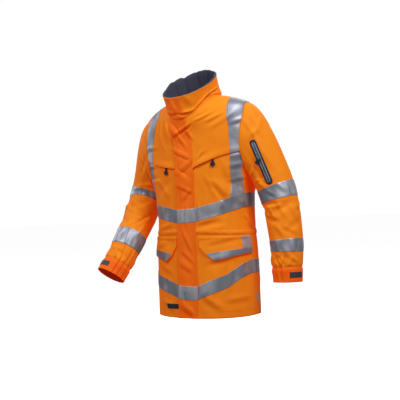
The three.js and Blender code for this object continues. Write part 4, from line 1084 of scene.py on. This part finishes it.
def lining_out(u, t):
    roll = rolled((t - 0.985) / (0.015 + LINING_RISE))
    stand = (2.0 + 2.6 * neck_back(u)) * smooth((t - 1.0) / 0.012)
    return -CLOTH - GAP + stand * (1 - roll) - 0.8 * roll


def collar_up(u, t):
    """The collar's own surface, run on a little past its top edge."""
    over_top = np.maximum(t - 1, 0)
    p = collar(u, np.minimum(t, 1))
    rise = collar(u, np.ones_like(t)) - collar(u, np.full_like(t, 0.9))
    uneven = 0.9 + 1.5 * neck_back(u) * (1 + 0.30 * np.sin(5 * u + 0.7) + 0.22 * np.sin(11 * u + 0.5))
    uneven = uneven + 1.3 * bell(turn_to(u, 172) / 0.30)
    uneven = uneven - 1.5 * bell(turn_to(u, 132) / 0.13) - 0.5 * tuck(u)
    return p + rise * (over_top * 10 * uneven)[..., None]


lining_levels = np.concatenate([np.linspace(0.05, 0.9, 24)[:-1], np.linspace(0.9, 1 + LINING_RISE, 18)])
tube("collar_lining", collar_up, 260, lining_levels, lining_in, lining_out, "navy", centre=collar_middle)

# The storm flap runs on up the front of the collar
collar_from = line([(-120, -50), (-84, -50), (20, -62)])
collar_to = line([(-120, 17), (-84, 17), (20, 4)])


def collar_front(u, t):
    return collar(-math.pi / 2 + u, t)


def collar_flap_lift(p):
    share = (p[..., 0] - collar_from(p[..., 2])) / (collar_to(p[..., 2]) - collar_from(p[..., 2]))
    wave = np.sin(p[..., 2] / 9.0) * smooth((0.9 - share) / 0.5)
    return GAP + 0.4 + 3.0 * smooth((0.7 - share) / 0.7) + wave


flap_edges = [across_of(collar_front, edge, 0, -1.2, 0.9) for edge in (collar_from, collar_to)]
# The storm flap on the collar takes the darker copy of the orange, painted shade
lay("placket_collar", collar_front, *patch(*flap_edges, flat(0.0), flat(0.995), 34, 60), collar_flap_lift,
    over(collar_flap_lift, CLOTH), "orange_deep")

# ---------------------------------------------------------------- sleeve pocket zip

zip_top = sleeve(math.radians(ZIP["top"][0]), ZIP["top"][1], 1)
zip_end = sleeve(math.radians(ZIP["end"][0]), ZIP["end"][1], 1)
zip_mid = (zip_top + zip_end) / 2
zip_run = unit(zip_top - zip_end)
zip_out = np.array([0.42, -1, 0.1])
zip_out = unit(zip_out - (zip_out * zip_run).sum() * zip_run)
zip_across = np.cross(zip_out, zip_run)


def zip_place(a, b):
    """Points of the sleeve under places a across and b along the zip, with their normals."""
    theta = math.radians(72) + 0 * a  # a first guess, near the middle of the zip
    s = 0.27 - b / 690
    for _ in range(12):
        p = sleeve(theta, s, 1)
        e = 1e-3
        pu, ps = (sleeve(theta + e, s, 1) - p) / e, (sleeve(theta, s + e, 1) - p) / e
        ra, rb = ((p - zip_mid) @ zip_across) - a, ((p - zip_mid) @ zip_run) - b
        j11, j12, j21, j22 = pu @ zip_across, ps @ zip_across, pu @ zip_run, ps @ zip_run
        det = j11 * j22 - j12 * j21
        theta = theta - np.clip((ra * j22 - rb * j12) / det, -0.2, 0.2)
        s = s - np.clip((j11 * rb - j21 * ra) / det, -0.05, 0.05)
    p = sleeve(theta, s, 1)
    n = normals(partial(sleeve, side=1), theta, s)
    return p, n * np.sign((n @ zip_out))[..., None]


def pill(wide, long, count):
    """Outline of a slot with round ends."""
    r = wide / 2
    a = np.linspace(0, math.pi, count // 2)
    h = long / 2 - r
    x = np.concatenate([r * np.cos(a), -r * np.cos(a)])
    y = np.concatenate([h + r * np.sin(a), -h - r * np.sin(a)])
    return np.stack([x, y], -1)


def even(outline, count):
    """The same closed outline with even steps."""
    closed = np.vstack([outline, outline[:1]])
    far = np.concatenate([[0], np.cumsum(np.linalg.norm(np.diff(closed, axis=0), axis=1))])
    at = np.linspace(0, far[-1], count, endpoint=False)
    return np.stack([np.interp(at, far, closed[:, k]) for k in range(2)], -1)


RIM_STEPS, RIM_ROWS = 120, 8
rim_out, rim_in = (even(pill(wide, long, 80), RIM_STEPS)
                   for wide, long in ((ZIP["wide"], ZIP["long"]), (ZIP["slot"], ZIP["long"] - 16)))
share = np.linspace(0, 1, RIM_ROWS)[:, None, None]
places = rim_out[None] * (1 - share) + rim_in[None] * share
points, n = zip_place(places[..., 0], places[..., 1])
bulge = 1.7 + 0.9 * np.sin(math.pi * share[..., 0]) + 0 * places[..., 0]
keep(shell("sleeve_zip_frame", points, n, GAP, bulge, "black", wrap=True), "black", "sleeve_zip_frame")
a, b = np.meshgrid(np.linspace(-8.2, 8.2, 14), np.linspace(-82, 82, 80))
points, n = zip_place(a, b)
keep(shell("sleeve_zip_tape", points, n, 0.1, 0.9, "zip_cloth"), "zip_cloth", "sleeve_zip_tape")


# Corners of a rounded bar, in halves of its size, and its faces
BAR = np.array([(-1, -0.6, 0), (-0.7, -1, 0.1), (0.7, -1, 0.1), (1, -0.6, 0), (1, 0.6, 0), (0.7, 1, 0.1),
                (-0.7, 1, 0.1), (-1, 0.6, 0), (-0.7, -0.5, 1), (0.7, -0.5, 1), (0.7, 0.5, 1), (-0.7, 0.5, 1)])
BAR_FACES = [(7, 6, 5, 4, 3, 2, 1, 0), (8, 9, 10, 11), (1, 2, 9, 8), (5, 6, 11, 10), (2, 3, 9), (3, 4, 10, 9),
             (4, 5, 10), (6, 7, 11), (7, 0, 8, 11), (0, 1, 8)]


def bars(name, centres, along_way, up_way, size, look):
    """Many small rounded bars in one piece: stitches or zip teeth. size is length, width and height."""
    along_way = unit(along_way)
    side_way = unit(np.cross(up_way, along_way))
    up_way = unit(np.cross(along_way, side_way))
    corners = BAR * np.array(size) / 2
    spread = (way[:, None] * corners[None, :, k, None] for k, way in enumerate((along_way, side_way, up_way)))
    verts = sum(spread, centres[:, None]).reshape(-1, 3)
    faces = [tuple(k * len(BAR) + v for v in face) for k in range(len(centres)) for face in BAR_FACES]
    keep(make(name, verts, faces, look), look)


# Teeth of the sleeve zip, in two rows that mesh
tooth_b = np.arange(-79, 79, 1.7)
tooth_a = np.where(np.arange(len(tooth_b)) % 2, 1.1, -1.1)
points, n = zip_place(tooth_a, tooth_b)
bars("sleeve_zip_teeth", points + n * 0.95, np.broadcast_to(zip_across, points.shape), n, (5.4, 1.2, 1.6),
     "teeth")

# ---------------------------------------------------------------- stitching

STITCH, STITCH_GAP = 2.6, 1.3


def stitches(points, n):
    """Even stitches along a line of surface points."""
    far = np.concatenate([[0], np.cumsum(np.linalg.norm(np.diff(points, axis=0), axis=1))])
    at = np.arange(STITCH, far[-1] - STITCH, STITCH + STITCH_GAP)
    both = [np.stack([np.interp(at, far, v[:, k]) for k in range(3)], -1) for v in (points, n)]
    ahead = np.stack([np.interp(at + 0.5, far, points[:, k]) - np.interp(at - 0.5, far, points[:, k])
                      for k in range(3)], -1)
    return both[0], ahead, both[1]


THREADS = {"thread": [], "grey_thread": []}


def sew(kind, surface, u, t, lift, centre=None):
    """A row of stitches at a distance from the surface. centre gives a tube's middle line."""
    u, t = np.broadcast_arrays(np.asarray(u, float), np.asarray(t, float))
    points = surface(u, t)
    middle = body_middle(points) if centre is None else centre(t)
    n = outward(points, normals(surface, u, t), middle)
    by = lift(points) if callable(lift) else np.full(len(points), float(lift))
    THREADS[kind].append(stitches(points + n * by[:, None], n))


STEPS = np.linspace(0, 1, 600)
AROUND = 2 * math.pi * STEPS


def sew_level(kind, surface, u_low, u_high, level, lift):
    """A row of stitches across the body, at a level t(u)."""
    u = u_low + (u_high - u_low) * STEPS
    sew(kind, surface, u, level(u), lift)


def sew_up(kind, surface, across, t_low, t_high, lift):
    """A row of stitches up the body, at a place u(t)."""
    t = t_low + (t_high - t_low) * STEPS
    sew(kind, surface, across(t), t, lift)


flap_side = float(across_of(front, placket_to, 3)(0.45))


def sew_fronts(kind, level, lift, end=0.99, near=-0.25):
    """A row of stitches across both fronts, up to the storm flap."""
    sew_level(kind, front, flap_side, end, level, lift)
    sew_level(kind, front, -end, near, level, lift)


def sew_hoop(kind, outline, back_table, by, lift):
    sew_fronts(kind, level_of(front, outline, by), lift)
    sew_level(kind, back, -0.99, 0.99, level_of(back, line(back_table), by), lift)


SEAM_IN = 2.5  # from a tape's edge to its stitches
for edge, by in ((placket_to, -2.2), (placket_to, -8.5), (placket_from, 6.0)):
    sew_up("thread", front, across_of(front, edge, by), 0.01, 0.985, over(flap_lift, CLOTH))
for by in (3.0, 9.0):
    sew_fronts("thread", level_of(front, yoke_line, by), yoke_lift, 0.985, -0.27)
for outline, back_table in ((chest_line, BACK_CHEST), (hem_line, BACK_HEM)):
    for by in (-SEAM_IN, SEAM_IN - HOOP):
        sew_hoop("grey_thread", outline, back_table, by, GAP + TAPE)
for by in (-1.6, 1.6 - WAIST_HIGH):
    sew_hoop("thread", waist_line, WAIST, by, GAP + CASING + 0.3)
for by in (3.0, 22.0):
    sew_fronts("thread", flat(by / BODY_HEIGHT), 0.0)
    sew_level("thread", back, -0.99, 0.99, flat(by / BODY_HEIGHT), 0.0)
for side, word in SIDES.items():
    flap_near = float(across_of(front, flat(FLAP_NEAR[side] + side * 3))(0.32))
    low, high = sorted((flap_near, side * FLAP_END))
    on_top = over(pocket_lift, CLOTH)
    sew_level("thread", front, low, high, level_of(front, line(FLAP_FEET[side]), 4.0), on_top)
    for by in (-3.0, -8.0):
        sew_level("thread", front, low, high, level_of(front, flat(FLAP_TOP + by)), on_top)
    for column, by in ((1, side * SEAM_IN), (2, -side * SEAM_IN)):
        brace = across_of(back, line(BRACES_BACK[side], column), by)
        sew_up("grey_thread", back, brace, 0.53, 0.88, GAP + TAPE)
    near_line, far_line = (line(BRACES[side], column) for column in (1, 2))
    inner, outer = across_of(front, near_line, side * SEAM_IN), across_of(front, far_line, -side * SEAM_IN)
    yoke_t = float(level_of(front, yoke_line)(across_of(front, near_line)(0.6)))
    on_yoke = over(yoke_lift, 0.1 + TAPE)
    sew_up("grey_thread", front, inner, 0.49, yoke_t - 0.006, GAP + TAPE)
    sew_up("grey_thread", front, inner, yoke_t + 0.004, 0.92, on_yoke)
    sew_up("grey_thread", front, outer, 0.71, 0.875, on_yoke)

    surface, middle = partial(sleeve, side=side), partial(sleeve_middle, side=side)
    for low, high in SLEEVE_TAPES[side].values():
        for at in (low + 0.004, high - 0.004):
            sew("grey_thread", surface, AROUND, at, GAP + TAPE, middle)
    for at in (CUFF_SEAM - 0.006, 0.016):
        sew("thread", surface, AROUND, at, 0.0, middle)
sew("thread", collar, AROUND, 0.955, 0.0, collar_middle)
for kind, rows in THREADS.items():
    bars(kind, *(np.concatenate([row[k] for row in rows]) for k in range(3)), (STITCH, 0.55, 0.8), kind)

# ---------------------------------------------------------------- carried-over solids

for node in ("front_zip", "chest_slider_left", "chest_slider_right", "chest_pull_left", "chest_pull_right",
             "sleeve_slider", "sleeve_pull"):
    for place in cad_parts[node].material_slots:
        place.material = MATERIALS["black"]

# ---------------------------------------------------------------- cuts of the cloth

# How each piece of cloth is held, and what it hangs from or is sewn to
HELD = {
    "back": ("hung",), "placket": ("hung", "front_left"), "placket_collar": ("hung", "collar_outer"),
    "collar_outer": ("hung", "yoke_left", "yoke_right", "back"), "waist_band_back": ("laid", "back"),
    "chest_tape_placket": ("laid", "placket"), "hem_tape_placket": ("laid", "placket"),
    "chest_tape_back": ("laid", "back"), "hem_tape_back": ("laid", "back"),
    "hem_label": ("laid", "front_right"), "side_tag": ("laid", "front_left", "back"),
    "sleeve_zip_tape": ("laid", "sleeve_left"),
}
for word in SIDES.values():
    HELD |= {
        f"yoke_{word}": ("hung",), f"front_{word}": ("hung", f"yoke_{word}"),
        f"sleeve_{word}": ("hung", f"yoke_{word}", "back"), f"cuff_{word}": ("gathered", f"sleeve_{word}"),
        f"cuff_tab_{word}": ("laid", f"cuff_{word}"), f"chest_tape_{word}": ("laid", f"front_{word}"),
        f"hem_tape_{word}": ("laid", f"front_{word}"), f"brace_low_{word}": ("laid", f"front_{word}"),
        f"brace_top_{word}": ("laid", f"yoke_{word}"), f"brace_back_{word}": ("laid", "back"),
        f"waist_band_{word}": ("laid", f"front_{word}"), f"pocket_flap_{word}": ("hung", f"front_{word}"),
        f"flap_tape_{word}": ("laid", f"pocket_flap_{word}"),
        f"flap_tape_side_{word}": ("laid", f"pocket_flap_{word}"),
        f"sleeve_tape_upper_{word}": ("laid", f"sleeve_{word}"),
        f"sleeve_tape_lower_{word}": ("laid", f"sleeve_{word}"),
    }

# ---------------------------------------------------------------- stage, light and camera

AIM = Vector((0, 0, -0.385))
AZIMUTH, FAR, ROLL = math.radians(30), 3.5, math.radians(2)
IMAGE, PIXEL, AIM_PIXEL = 400, 0.00387, 206.5  # image width, metres a pixel, the column that AIM falls on
WHITE, BLACK = (1, 1, 1, 1), (0, 0, 0, 1)
FLOOR, FLOOR_HALF, FLOOR_GLOW, WORLD = -1.02, 30, 0.80, 0.20
DOME, DOME_COLS, DOME_ROWS = 26.0, 48, 24
LAMP_FAR = 3.0


def stage_piece(name, verts, faces, colour, roughness, glow):
    """A pale surface that only the camera sees, so that it sends no light of its own."""
    look = bpy.data.materials.new(name)
    look.use_nodes = True
    inputs = look.node_tree.nodes["Principled BSDF"].inputs
    for socket, value in (("Base Color", colour), ("Roughness", roughness), ("Emission Color", WHITE),
                          ("Emission Strength", glow)):
        inputs[socket].default_value = value
    mesh = bpy.data.meshes.new(name)
    mesh.from_pydata(verts, [], faces)
    mesh.materials.append(look)
    piece = bpy.data.objects.new(name, mesh)
    bpy.context.scene.collection.objects.link(piece)
    for ray in ("diffuse", "glossy", "transmission", "shadow", "volume_scatter"):
        setattr(piece, f"visible_{ray}", False)
    return piece


corners = [(x * FLOOR_HALF, y * FLOOR_HALF, FLOOR) for x, y in ((-1, -1), (1, -1), (1, 1), (-1, 1))]
floor = stage_piece("floor", corners, [(0, 1, 2, 3)], (0.88, 0.88, 0.88, 1), 0.9, FLOOR_GLOW)
turns = np.arange(DOME_COLS) * 2 * math.pi / DOME_COLS
rises = np.linspace(-math.pi / 2, math.pi / 2, DOME_ROWS + 1)
dome = [(DOME * math.cos(e) * math.cos(a), DOME * math.cos(e) * math.sin(a), DOME * math.sin(e))
        for e in rises for a in turns]
panes = [(j * DOME_COLS + i, (j + 1) * DOME_COLS + i, (j + 1) * DOME_COLS + (i + 1) % DOME_COLS,
          j * DOME_COLS + (i + 1) % DOME_COLS) for j in range(DOME_ROWS) for i in range(DOME_COLS)]
backdrop = stage_piece("backdrop", dome, panes, BLACK, 0.5, 1.0)

world = bpy.data.worlds.new("studio")
world.use_nodes = True
world.node_tree.nodes["Background"].inputs["Color"].default_value = WHITE
world.node_tree.nodes["Background"].inputs["Strength"].default_value = WORLD
bpy.context.scene.world = world
bpy.context.scene.view_settings.view_transform = "Standard"


def lamp(name, azimuth, elevation, size, power):
    """A square soft lamp that faces the aim. size is in metres and power in watts."""
    data = bpy.data.lights.new(name, "AREA")
    data.shape = "SQUARE"
    data.size = size
    data.energy = power
    item = bpy.data.objects.new(name, data)
    a, e = math.radians(azimuth), math.radians(elevation)
    way = Vector((math.sin(a) * math.cos(e), -math.cos(a) * math.cos(e), math.sin(e)))
    item.location = AIM + way * LAMP_FAR
    item.rotation_mode = "QUATERNION"
    item.rotation_quaternion = way.to_track_quat("Z", "Y")
    bpy.context.scene.collection.objects.link(item)


lamp("key", 62, 46, 1.2, 68)
lamp("fill", -24, 40, 1.0, 36)
lamp("side", -98, 20, 1.2, 11)
lamp("rear", 196, 40, 2.2, 32)

camera_data = bpy.data.cameras.new("camera")
camera = bpy.data.objects.new("camera", camera_data)
camera_data.sensor_width = 36
camera_data.lens = camera_data.sensor_width * FAR / (PIXEL * IMAGE)
camera_data.shift_x = (IMAGE / 2 - AIM_PIXEL) / IMAGE
back_way = Vector((math.sin(AZIMUTH), -math.cos(AZIMUTH), 0))
camera.rotation_mode = "QUATERNION"
camera.location = AIM + back_way * FAR
camera.rotation_quaternion = back_way.to_track_quat("Z", "Y") @ Matrix.Rotation(-ROLL, 3, "Z").to_quaternion()
bpy.context.scene.collection.objects.link(camera)
bpy.context.scene.camera = camera
